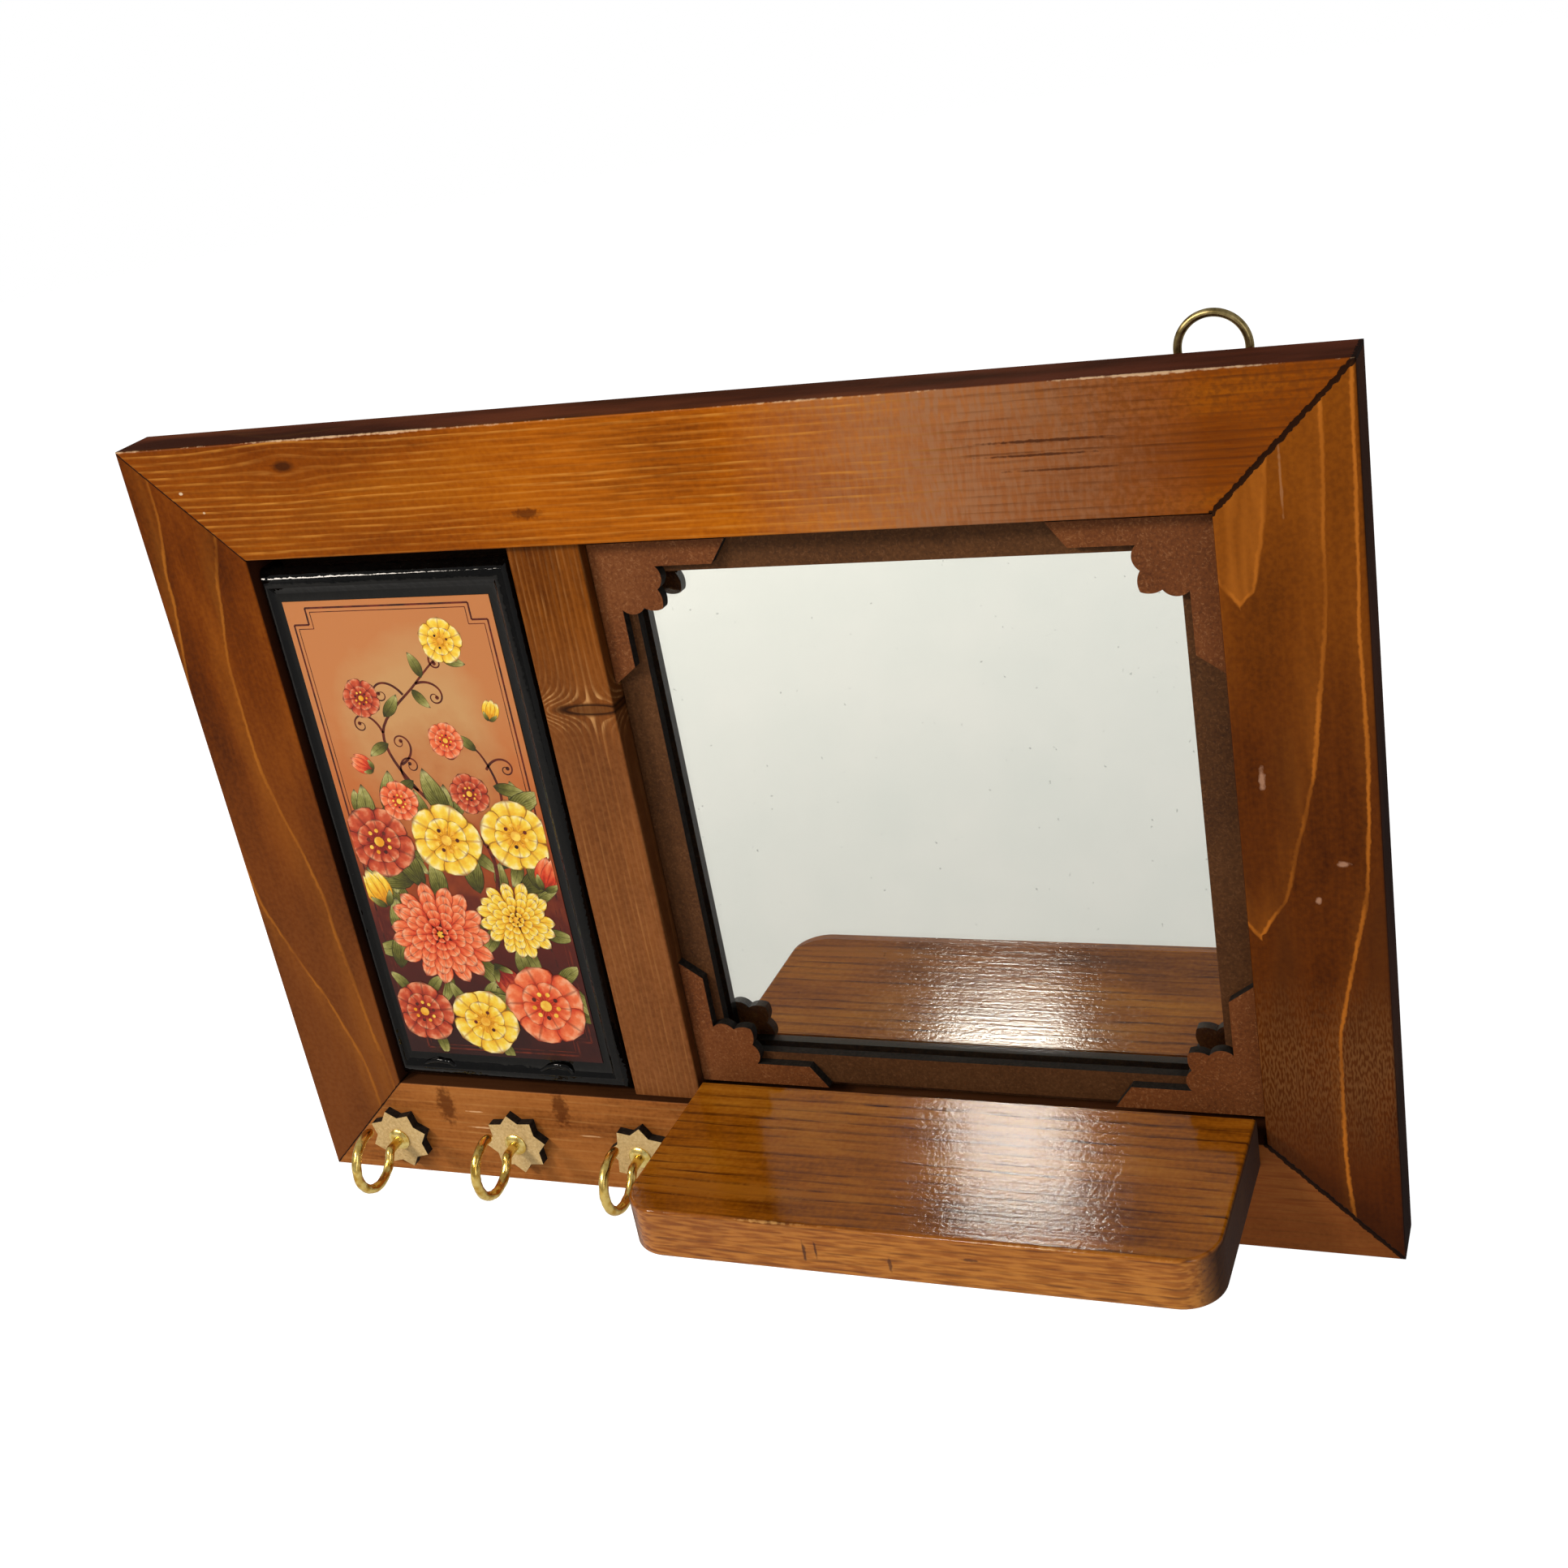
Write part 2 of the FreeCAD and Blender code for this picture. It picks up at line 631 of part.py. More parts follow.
def add_fret_backing_frame():
    """The lower layer of the fretwork: a plain border all round the mirror."""
    body = new_body("fret_backing_frame", "0", BACKING_BACK, "0")
    sketch = new_sketch(body, "XZ_Plane")
    draw(sketch, insert_outline)
    draw(sketch, rectangle(f"{INSERT_LEFT} + sizes.border_width", f"{INSERT_BOTTOM} + sizes.border_width",
                           f"{INSERT_RIGHT} - sizes.border_width", f"{INSERT_TOP} - sizes.border_width"))
    pad(body, sketch, "sizes.fret_thickness")
    keep(body, "fret_backing_frame")


def add_fret_corner(label, x, z, quarter_turns):
    """An upper fretwork corner: two arms with slanted ends and a scalloped leaf between them."""
    turn = FreeCAD.Rotation(FreeCAD.Vector(0, -1, 0), quarter_turns * HALF_TURN / 2)
    body = new_body(label, x, FRET_BACK, z, turn)
    inner = "sizes.arm_width"
    short_arm = "sizes.arm_length - sizes.arm_slant"
    start = f"{inner} + sizes.lobe_start"
    notch_far = f"{inner} + sizes.notch_along"
    notch_near = f"{inner} + sizes.notch_across"
    tip = f"{inner} + sizes.lobe_tip"
    sketch = new_sketch(body, "XZ_Plane")
    draw(sketch, [
        ("0", "0"),
        ("sizes.arm_length", "0"),
        (short_arm, inner),
        (start, inner, "sizes.lobe_radius", 1),
        (notch_far, notch_near, "sizes.petal_radius", 1),
        (tip, tip, "sizes.petal_radius", 1),
        (notch_near, notch_far, "sizes.lobe_radius", 1),
        (inner, start),
        (inner, short_arm),
        ("0", "sizes.arm_length"),
    ])
    pad(body, sketch, "sizes.fret_thickness")
    keep(body, label)


add_fret_backing_frame()
add_fret_corner("fret_corner_bottom_left", INSERT_LEFT, INSERT_BOTTOM, 0)
add_fret_corner("fret_corner_bottom_right", INSERT_RIGHT, INSERT_BOTTOM, 1)
add_fret_corner("fret_corner_top_right", INSERT_RIGHT, INSERT_TOP, 2)
add_fret_corner("fret_corner_top_left", INSERT_LEFT, INSERT_TOP, 3)


# Shelf

def add_shelf_board():
    """A board with round front corners and eased edges, its back against the bottom rail."""
    body = new_body("shelf_blank", "0", FRAME_FRONT, SHELF_BOTTOM)
    sketch = new_sketch(body, "XY_Plane")
    radius = "sizes.shelf_corner_radius"
    front = "-sizes.shelf_depth"
    draw(sketch, [
        (SHELF_LEFT, "0"),
        (SHELF_LEFT, f"{front} + {radius}", radius, 1),
        (f"{SHELF_LEFT} + {radius}", front),
        (f"{SHELF_RIGHT} - {radius}", front, radius, 1),
        (SHELF_RIGHT, f"{front} + {radius}"),
        (SHELF_RIGHT, "0"),
    ])
    pad(body, sketch, "sizes.shelf_thickness")

    def rims_the_board(edge):
        faces = ("0", "sizes.shelf_thickness")
        return not at(edge, "y", "0") and any(at(edge, "z", face) for face in faces)

    round_edges(body, rims_the_board, "sizes.shelf_edge_round")
    keep(cut("shelf_board", body, hole_set), "shelf_board")


add_shelf_board()


# Key hooks

def add_star_washer(name, x, z):
    """An eight-pointed star, two squares laid over each other, with a hole for the hook's wire."""
    turn = FreeCAD.Rotation(FreeCAD.Vector(0, -1, 0), STAR_TURNS[name])
    body = new_body(f"star_washer_{name}", x, FRAME_FRONT, z, turn)
    step = HALF_TURN / STAR_POINTS
    tip_radius = "sizes.star_square / sqrt(2)"
    notch_radius = f"sizes.star_square / 2 / cos({step})"
    corners = []
    for index in range(2 * STAR_POINTS):
        radius = notch_radius if index % 2 else tip_radius
        corners.append((f"{radius} * cos({index * step})", f"{radius} * sin({index * step})"))
    sketch = new_sketch(body, "XZ_Plane")
    draw(sketch, corners)
    draw_circle(sketch, "0", "0", "sizes.wire_diameter / 2 + sizes.fit_gap")
    pad(body, sketch, "sizes.star_thickness")
    keep(body, f"star_washer_{name}")


def add_hook_collar(name, x, z):
    """A thin domed brass disc between the star and the hook's bend."""
    body = new_body(f"hook_collar_{name}", x, f"{FRAME_FRONT} - sizes.star_thickness", z)
    bore = "sizes.wire_diameter / 2 + sizes.fit_gap"
    rim = "sizes.collar_diameter / 2"
    turn_about_y(body, [
        ("0", bore),
        ("0", rim),
        ("-sizes.collar_edge", rim, "sizes.collar_dome_radius", 1),
        ("-sizes.collar_thickness", bore),
    ])
    keep(body, f"hook_collar_{name}")


def add_key_hook(name, x, z):
    """A brass wire with a wood screw at one end and a loop, open at the top, at the other."""
    body = new_body(f"key_hook_{name}", x, FRAME_FRONT, z)
    wire_radius = "sizes.wire_diameter / 2"
    bend = "acos((sizes.loop_rise + sizes.bend_radius) / (sizes.loop_radius + sizes.bend_radius))"
    shank = "(sizes.star_thickness + sizes.collar_thickness + sizes.shank_straight)"
    reach = f"({shank} + (sizes.loop_radius + sizes.bend_radius) * sin({bend}))"
    tip_y = f"-{reach} - sizes.loop_radius * cos(sizes.loop_end_angle)"
    tip_z = "sizes.loop_rise + sizes.loop_radius * sin(sizes.loop_end_angle)"
    path = [
        ("0", "0"),
        (f"-{shank}", "0", "sizes.bend_radius", 1),
        (f"-{shank} - sizes.bend_radius * sin({bend})", f"sizes.bend_radius * (cos({bend}) - 1)",
         "sizes.loop_radius", -1),
        (f"-{reach} - sizes.loop_radius", "sizes.loop_rise", "sizes.loop_radius", -1),
        (tip_y, tip_z),
    ]
    bend_wire(body, "YZ_Plane", path, False, "XZ_Plane", "sizes.wire_diameter")
    tip = FreeCAD.Vector(0, value(tip_y), value(tip_z))

    def ends_the_wire(edge):
        from_tip = [(vertex.Point - tip).Length for vertex in edge.Vertexes]
        return all(abs(distance - value(wire_radius)) < TOUCH for distance in from_tip)

    round_edges(body, ends_the_wire, "sizes.tip_round")
    screw_radius = "sizes.hook_screw_diameter / 2"
    turn_about_y(body, [
        ("0", "0"),
        ("sizes.hook_screw_length", "0"),
        ("sizes.hook_screw_length - sizes.hook_screw_point", screw_radius),
        ("0", screw_radius),
    ])
    keep(body, f"key_hook_{name}")


for name, (x, z) in HOOK_PLACES.items():
    add_star_washer(name, x, z)
    add_hook_collar(name, x, z)
    add_key_hook(name, x, z)


# Hanging rings

def add_hanger_strap(side, x):
    """A metal strip on the back of the top rail, curled round the straight bar of its ring."""
    name = f"hanger_strap_{side}"
    left = f"{x} - sizes.strap_width / 2"
    curl_y = f"{FRAME_BACK} + {CURL_RADIUS}"
    straight = "(sizes.strap_length - sizes.strap_width / 2)"
    end_z = f"{HANGER_Z} - {straight}"
    strip = block(f"{name}_strip", ("sizes.strap_width", "sizes.strap_thickness", straight),
                  left, FRAME_BACK, end_z)
    round_end = rod(f"{name}_round_end", "sizes.strap_width", "sizes.strap_thickness",
                    x, FRAME_BACK, end_z, "+Y")
    curl = rod(f"{name}_curl", f"2 * {CURL_RADIUS}", "sizes.strap_width", left, curl_y, HANGER_Z, "+X")
    blank = join(f"{name}_blank", [strip, round_end, curl])
    bore = rod(f"{name}_bore", "sizes.ring_wire + 2 * sizes.running_gap",
               "sizes.strap_width + 2 * sizes.cut_overrun",
               f"{left} - sizes.cut_overrun", curl_y, HANGER_Z, "+X")
    screw_hole = rod(f"{name}_screw_hole", "sizes.screw_diameter + 2 * sizes.fit_gap",
                     "sizes.strap_thickness + 2 * sizes.cut_overrun",
                     x, f"{FRAME_BACK} - sizes.cut_overrun", f"{HANGER_Z} - sizes.screw_drop", "+Y")
    keep(cut(name, blank, group(f"{name}_holes", [bore, screw_hole])), name)


def add_hanger_ring(side, x, rotation):
    """A wire ring with a straight bar at its foot, which turns in the strap's curl."""
    body = new_body(f"hanger_ring_{side}", x, f"{FRAME_BACK} + {CURL_RADIUS}", HANGER_Z, rotation)
    bar = "(sizes.strap_width / 2 + sizes.ring_side_gap)"
    corner = "sizes.ring_corner_radius"
    big = "sizes.ring_radius"
    centre = f"({corner} + sqrt(({big} - {corner}) ^ 2 - {bar} ^ 2))"
    meet_x = f"({big} * {bar} / ({big} - {corner}))"
    meet_z = f"({centre} + {big} * ({corner} - {centre}) / ({big} - {corner}))"
    path = [
        ("0", "0"),
        (bar, "0", corner, 1),
        (meet_x, meet_z, big, 1),
        ("0", f"{centre} + {big}", big, 1),
        (f"-{meet_x}", meet_z, corner, 1),
        (f"-{bar}", "0"),
    ]
    bend_wire(body, "XZ_Plane", path, True, "YZ_Plane", "sizes.ring_wire")
    keep(body, f"hanger_ring_{side}")


# The right ring stands up above the rail; the left one hangs down behind it.
RING_TURNS = {"left": HALF_TURN, "right": 0}
for side, sign in SIDES.items():
    add_hanger_strap(side, f"{sign} * {HANGER_X}")
    turn = FreeCAD.Rotation(FreeCAD.Vector(1, 0, 0), RING_TURNS[side])
    add_hanger_ring(side, f"{sign} * {HANGER_X}", turn)

doc.recompute()

for item in doc.Objects:
    if "Invalid" in item.State or "Error" in item.State:
        raise ValueError(f"{item.Label} failed to build: {item.State}")
for piece in pieces:
    if piece.Shape.isNull() or not piece.Shape.isValid() or not piece.Shape.Solids:
        raise ValueError(f"{piece.Label} has no valid solid")

os.makedirs("parts", exist_ok=True)
for piece in pieces:
    piece.Shape.exportStep(f"parts/{piece.Label}.step")
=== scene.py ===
import math
import random

import bpy
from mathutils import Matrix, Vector


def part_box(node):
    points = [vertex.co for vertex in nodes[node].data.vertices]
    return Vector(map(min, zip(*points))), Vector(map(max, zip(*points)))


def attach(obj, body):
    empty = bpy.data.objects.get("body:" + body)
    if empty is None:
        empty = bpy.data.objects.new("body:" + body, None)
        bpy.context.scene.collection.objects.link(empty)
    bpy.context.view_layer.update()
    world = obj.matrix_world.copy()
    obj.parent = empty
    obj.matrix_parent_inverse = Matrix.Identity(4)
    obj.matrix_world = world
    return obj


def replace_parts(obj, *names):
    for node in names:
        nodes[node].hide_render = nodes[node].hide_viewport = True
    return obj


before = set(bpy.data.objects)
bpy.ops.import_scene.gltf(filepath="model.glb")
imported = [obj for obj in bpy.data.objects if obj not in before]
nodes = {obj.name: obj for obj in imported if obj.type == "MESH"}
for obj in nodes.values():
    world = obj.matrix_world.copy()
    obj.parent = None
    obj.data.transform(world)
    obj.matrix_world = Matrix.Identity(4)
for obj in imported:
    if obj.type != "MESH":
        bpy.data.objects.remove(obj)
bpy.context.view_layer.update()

# A stained pine wall frame with a picture panel, a mirror in cut fretwork, a shelf and key hooks.
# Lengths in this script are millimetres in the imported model's frame, and MM turns them to metres.
MM = 0.001
random.seed(11)


def span(node):
    """A node's lowest and highest corners in millimetres."""
    low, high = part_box(node)
    return low / MM, high / MM


OPENING_X = span("right_stile")[0].x
OPENING_Z = span("top_rail")[0].z
FRAME_Z = span("top_rail")[1].z
FRONT_Y = span("top_rail")[0].y
SHELF_LOW, SHELF_HIGH = span("shelf_board")


# Small tools for materials

def colour(code):
    """The linear colour that an sRGB hex code stands for."""
    parts = [int(code[i:i + 2], 16) / 255 for i in (1, 3, 5)]
    return tuple(p / 12.92 if p <= 0.04045 else ((p + 0.055) / 1.055) ** 2.4 for p in parts) + (1.0,)


def add(tree, kind, inputs=(), output=0, stops=None, smooth=False, **settings):
    """Adds one node, such as "Math ADD", sets or links its inputs, and gives back one of its outputs."""
    kind, _, operation = kind.partition(" ")
    made = tree.nodes.new("ShaderNode" + kind)
    if operation:
        made.operation = operation
    for name, setting in settings.items():
        setattr(made, name, setting)
    for key, given in inputs.items() if isinstance(inputs, dict) else enumerate(inputs):
        if isinstance(given, bpy.types.NodeSocket):
            tree.links.new(given, made.inputs[key])
        else:
            made.inputs[key].default_value = given
    if stops:
        made.color_ramp.interpolation = "CARDINAL" if smooth else "LINEAR"
        ramp = made.color_ramp.elements
        while len(ramp) < len(stops):
            ramp.new(1.0)
        for element, (position, shade) in zip(ramp, stops):
            element.position = position
            element.color = colour(shade) if isinstance(shade, str) else (shade, shade, shade, 1.0)
    return made.outputs[output] if made.outputs else made


# Settings of a Mix node that blends the colours at its inputs 6 and 7.
BLEND = {"output": 2, "data_type": "RGBA"}


def material(name, paint):
    """A material whose Principled shader takes the inputs that paint(tree) gives."""
    made = bpy.data.materials.new(name)
    made.use_nodes = True
    tree = made.node_tree
    tree.nodes.clear()
    shader = add(tree, "BsdfPrincipled", paint(tree))
    add(tree, "OutputMaterial", {"Surface": shader})
    return made


def millimetres(tree):
    """The surface point in the model's frame, in millimetres."""
    point = add(tree, "TexCoord", output="Object")
    return add(tree, "VectorMath SCALE", {0: point, "Scale": 1 / MM})


# Stained pine, planed, rubbed with a brown stain and varnished by brush: the stain soaks into the soft
# early wood and leaves the hard late wood as thin lines, over faint fibres and cloudy darker areas, and the
# varnish keeps a fine nap. Each layer of noise has its size along, across and through the board, and its
# detail. Fibres, dashes, nap and specks are drawn about twice as coarse as pine's so that they show.
LAYERS = {
    "clouds": ((70, 20, 20), 3.0), "waves": ((70, 30, 30), 1.0), "fibres": ((18, 1.1, 1.1), 2.0),
    "dashes": ((10, 1.0, 1.0), 1.0), "fading": ((40, 4, 4), 1.0), "nap": ((1.6, 1.6, 1.6), 3.0),
    "cross": ((1.2, 6, 6), 2.0), "specks": ((2.0, 0.55, 0.55), 0.0),
}
# Each board's pattern is moved along and across it, so that no two boards are alike.
GRAIN_SHIFT = (61.0, 7.0)
PATH_RIM = 1.4
SEAM_LEFT, SEAM_RIGHT = 0.9, 2.4
# end grain takes the stain darker, and its near-black tone is also painted shade on the shelf's right end
SEAM_TONE, END_STAIN_AND_SHADE = "#180a04", "#241008"
# the paler tone is a painted highlight on the grain round a knot, the darker one the knot itself
KNOT_HIGHLIGHT_TONE, KNOT_DARK = "#d9a468", "#1f0d05"
MARK_DEPTH = 9


def stained_pine(name, axes, stain, line, fibre, rings=None, line_turn=None, paths=(), knot=None, tone_sheen_and_shade_bands=(),
                 marks=(), arris_highlight_and_wear=None, edges=("#1a0b05", "#2e160c"), edge_layer="clouds", seams=True,
                 wander=1.0, relief=0.1, gloss=0.4, shine=0.06):
    """One board with its grain along, across and through it (axes), in millimetres.

    stain: dark, middle and pale tones. line: the late wood's tone and strength. fibre: how far fibres show.
    rings: their spacing and line width, and the pith's place across and through. line_turn: where the lines
    begin and end to turn to another tone. paths: a grain line's softness, fill, foot and points along and
    across. knot: its place, half sizes, share of painted highlight on the grain round it, core and rim.
    tone_sheen_and_shade_bands: tone, start, end, shares, layer and how far the layer breaks it; some of these
    bands are painted sheen and one is a painted shadow. marks: place, half sizes, tone and cover.
    arris_highlight_and_wear: the two planes that meet at a rubbed edge, and the tone of its pale line, which
    is also a painted highlight.
    """

    def paint(tree):
        point = millimetres(tree)
        parts = add(tree, "SeparateXYZ", {0: point}).node.outputs
        length, width, thick = (parts[axis] for axis in axes)
        board = add(tree, "CombineXYZ", (length, width, thick))
        moved = add(tree, "VectorMath ADD", (board, (GRAIN_SHIFT[0] * len(name), GRAIN_SHIFT[1], 0.0)))
        drawn = {}
        for layer, (size, detail) in LAYERS.items():
            placed = add(tree, "VectorMath MULTIPLY", (moved, [1 / side for side in size]))
            drawn[layer] = add(tree, "TexNoise", {"Vector": placed, "Scale": 1.0, "Detail": detail})

        # late wood: rings round a pith line, or grain lines that follow a path on the face
        waved = add(tree, "Math MULTIPLY_ADD", (drawn["waves"], 2 * wander, -wander))
        shaken = add(tree, "Math MULTIPLY_ADD", (drawn["fading"], 1.2, -0.6))
        waved = add(tree, "Math ADD", (waved, shaken))
        flow = add(tree, "Math ADD", (width, waved))
        if knot:
            knot_at, knot_across, knot_long, knot_wide, glow, core, rim = knot
            centre = add(tree, "VectorMath ADD", (board, (-knot_at, -knot_across, 0.0)))
            flat = add(tree, "VectorMath MULTIPLY", (centre, (1 / knot_long, 1 / knot_wide, 0.0)))
            reach = add(tree, "VectorMath DOT_PRODUCT", (flat, flat), output="Value")
            spread = add(tree, "Math ADD", (reach, 1.0))
            side = add(tree, "SeparateXYZ", {0: centre}, output="Y")
            pushed = add(tree, "Math DIVIDE", (side, spread))
            flow = add(tree, "Math SUBTRACT", (flow, pushed))
        late = 0.0
        if rings:
            ring, line_width, pith_across, pith_through = rings
            radial = add(tree, "CombineXYZ", (flow, thick, 0.0))
            pith = (pith_across, pith_through, 0.0)
            radius = add(tree, "VectorMath DISTANCE", (radial, pith), output="Value")
            turns = add(tree, "Math DIVIDE", (radius, ring))
            share = add(tree, "Math FRACT", {0: turns})
            part = line_width / ring
            late = add(tree, "ValToRGB", {0: share}, stops=[
                (0, 0.0), (1 - 1.9 * part, 0.0), (1 - 0.9 * part, 0.8), (1 - 0.4 * part, 1.0), (1, 0.0)])
            count = add(tree, "Math FLOOR", {0: turns})
            strong = add(tree, "TexWhiteNoise", {"W": count}, noise_dimensions="1D")
            strong = add(tree, "Math MULTIPLY_ADD", (strong, 0.5, 0.5))
            late = add(tree, "Math MULTIPLY", (late, strong))
            broken = add(tree, "ValToRGB", {0: drawn["dashes"]}, stops=[(0.38, 1.0), (0.64, 0.25)])
            late = add(tree, "Math MULTIPLY", (late, broken))
        for soft, fill, foot, path in paths:
            low, high = path[0][0], path[-1][0]
            least = min(place for _, place in path)
            wide = max(place for _, place in path) - least
            share = add(tree, "MapRange", (length, low, high))
            place = add(tree, "ValToRGB", {0: share}, smooth=True, stops=[
                ((at - low) / (high - low), (across - least) / wide) for at, across in path])
            place = add(tree, "Math MULTIPLY_ADD", (place, wide, least))
            off = add(tree, "Math SUBTRACT", (width, place))
            if foot:
                at, across, lean = foot
                slope = math.hypot(1, lean)
                down = (-1 / slope, -lean / slope, 0.0)
                below = add(tree, "VectorMath DOT_PRODUCT", (board, down), output="Value")
                below = add(tree, "Math ADD", (below, (at + lean * across) / slope))
                off = add(tree, "Math MAXIMUM", (off, below))
            off = add(tree, "Math MULTIPLY_ADD", (shaken, 1.4, off))
            off = add(tree, "Math MULTIPLY_ADD", (drawn["nap"], 1.0, off))
            whole = soft + PATH_RIM
            light = add(tree, "MapRange", (off, -soft, PATH_RIM))
            light = add(tree, "ValToRGB", {0: light}, stops=[
                (0, 0.0), (0.5 * soft / whole, 0.55 * fill), (1 - 2.2 / whole, fill), (1 - 1.6 / whole, 1.0),
                (1 - 1.1 / whole, 0.9), (1 - 0.6 / whole, 0.0)])
            late = add(tree, "Math MAXIMUM", (late, light))
        dim = add(tree, "ValToRGB", {0: drawn["fading"]}, stops=[(0.32, 0.3), (0.6, 1.0)])
        late = add(tree, "Math MULTIPLY", (late, dim))

        # stain
        shade = add(tree, "Math MULTIPLY_ADD", (drawn["clouds"], 1.1, -0.225 - 0.5 * fibre))
        shade = add(tree, "Math MULTIPLY_ADD", (drawn["fibres"], fibre, shade))
        shade = add(tree, "Math MULTIPLY_ADD", (drawn["nap"], 0.35, shade))
        wood = add(tree, "ValToRGB", {0: shade}, stops=[(0.2, stain[0]), (0.5, stain[1]), (0.8, stain[2])])
        # bands of tone along the board: some are the wood's own, some are painted sheen of the varnish or
        # painted shadow
        for tint, low, high, shares, layer, weave in tone_sheen_and_shade_bands:
            band_share = add(tree, "MapRange", (length, low, high))
            band_share = add(tree, "ValToRGB", {0: band_share}, stops=shares)
            patchy = add(tree, "ValToRGB", {0: drawn["clouds"]}, stops=[(0.3, 0.75), (0.6, 1.0)])
            band_share = add(tree, "Math MULTIPLY", (band_share, patchy))
            woven = add(tree, "ValToRGB", {0: drawn[layer]}, stops=[(0.4, 1 - weave), (0.6, 1.0)])
            band_share = add(tree, "Math MULTIPLY", (band_share, woven))
            wood = add(tree, "Mix", {0: band_share, 6: wood, 7: colour(tint)}, **BLEND)
        # faces along the edges take a tone of their own, darker stain with painted shade on the frame's side
        # faces and a paler one on the shelf's front; faces across the grain take the stain darker
        facing = add(tree, "VectorMath ABSOLUTE", {0: add(tree, "TexCoord", output="Normal")})
        facing = add(tree, "SeparateXYZ", {0: facing}).node.outputs
        edge = add(tree, "ValToRGB", {0: facing[axes[1]]}, stops=[(0.6, 0.0), (0.9, 0.9)])
        edge_stain_and_shading = add(tree, "ValToRGB", {0: drawn[edge_layer]}, stops=[(0.4, edges[0]), (0.6, edges[1])])
        end = add(tree, "ValToRGB", {0: facing[axes[0]]}, stops=[(0.5, 0.0), (0.9, 0.9)])
        if not seams:
            faint = add(tree, "Math MULTIPLY", (edge, 0.6))
            wood = add(tree, "Mix", {0: faint, 6: wood, 7: edge_stain_and_shading}, **BLEND)
            weak = add(tree, "Math MULTIPLY_ADD", (edge, -0.4, 1.0))
            late = add(tree, "Math MULTIPLY", (late, weak))

        line_tint = colour(line[0])
        if line_turn:
            turned = add(tree, "MapRange", (length, line_turn[0], line_turn[1]))
            line_tint = add(tree, "Mix", {0: turned, 6: line_tint, 7: colour(line_turn[2])}, **BLEND)
        drawn_line = add(tree, "Math MULTIPLY", (late, line[1]))
        wood = add(tree, "Mix", {0: drawn_line, 6: wood, 7: line_tint}, **BLEND)
        if knot:
            # late-wood lines near the knot are drawn paler, a painted highlight on the grain curving round it
            near = add(tree, "MapRange", (reach, 0.0, 8.0))
            knot_highlight = add(tree, "ValToRGB", {0: near}, stops=[(0.02, 0.0), (0.06, glow), (0.5, 0.0)])
            knot_highlight = add(tree, "Math MULTIPLY", (knot_highlight, late))
            wood = add(tree, "Mix", {0: knot_highlight, 6: wood, 7: colour(KNOT_HIGHLIGHT_TONE)}, **BLEND)
            dark = add(tree, "ValToRGB", {0: reach}, stops=[
                (0.0, core), (0.07, core), (0.12, rim), (0.3, 0.0)])
            wood = add(tree, "Mix", {0: dark, 6: wood, 7: colour(KNOT_DARK)}, **BLEND)
        for place, size, tint, cover in marks:
            off = add(tree, "VectorMath ADD", (board, [-at for at in place]))
            off = add(tree, "VectorMath MULTIPLY", (off, [1 / half for half in size]))
            off = add(tree, "VectorMath LENGTH", {0: off}, output="Value")
            off = add(tree, "Math MULTIPLY_ADD", (drawn["nap"], 0.8, off))
            spot = add(tree, "ValToRGB", {0: off}, stops=[(0.7, cover), (1.0, 0.0)])
            wood = add(tree, "Mix", {0: spot, 6: wood, 7: colour(tint)}, **BLEND)

        rough = add(tree, "Math MULTIPLY_ADD", (drawn["nap"], 0.2, gloss - 0.1))
        rough = add(tree, "Math MAXIMUM", (rough, end))
        height = add(tree, "Math MULTIPLY", (drawn["fibres"], 0.5))
        height = add(tree, "Math MULTIPLY_ADD", (drawn["nap"], 0.6, height))
        height = add(tree, "Math MULTIPLY_ADD", (late, 0.3, height))
        if seams:
            # the side faces' darker tone is stain and painted shade together
            wood = add(tree, "Mix", {0: edge, 6: wood, 7: edge_stain_and_shading}, **BLEND)
            rough = add(tree, "Math MAXIMUM", (rough, edge))
        wood = add(tree, "Mix", {0: end, 6: wood, 7: colour(END_STAIN_AND_SHADE)}, **BLEND)
        if seams:
            # the glue line of a mitre, wider and rougher at the right-hand corners
            size = add(tree, "VectorMath ABSOLUTE", {0: point})
            gap = add(tree, "VectorMath DOT_PRODUCT", (size, (1.0, 0.0, -1.0)), output="Value")
            gap = add(tree, "Math ADD", (gap, OPENING_Z - OPENING_X))
            gap = add(tree, "Math ABSOLUTE", {0: gap})
            wide = add(tree, "MapRange", (parts["X"], -OPENING_X, OPENING_X, SEAM_LEFT, SEAM_RIGHT))
            wide = add(tree, "Math MULTIPLY", (drawn["nap"], wide))
            seam = add(tree, "Math SUBTRACT", (wide, gap))
            seam = add(tree, "ValToRGB", {0: seam}, stops=[(0.0, 0.0), (0.25, 0.95)])
            wood = add(tree, "Mix", {0: seam, 6: wood, 7: colour(SEAM_TONE)}, **BLEND)
            height = add(tree, "Math MULTIPLY_ADD", (seam, -2.0, height))
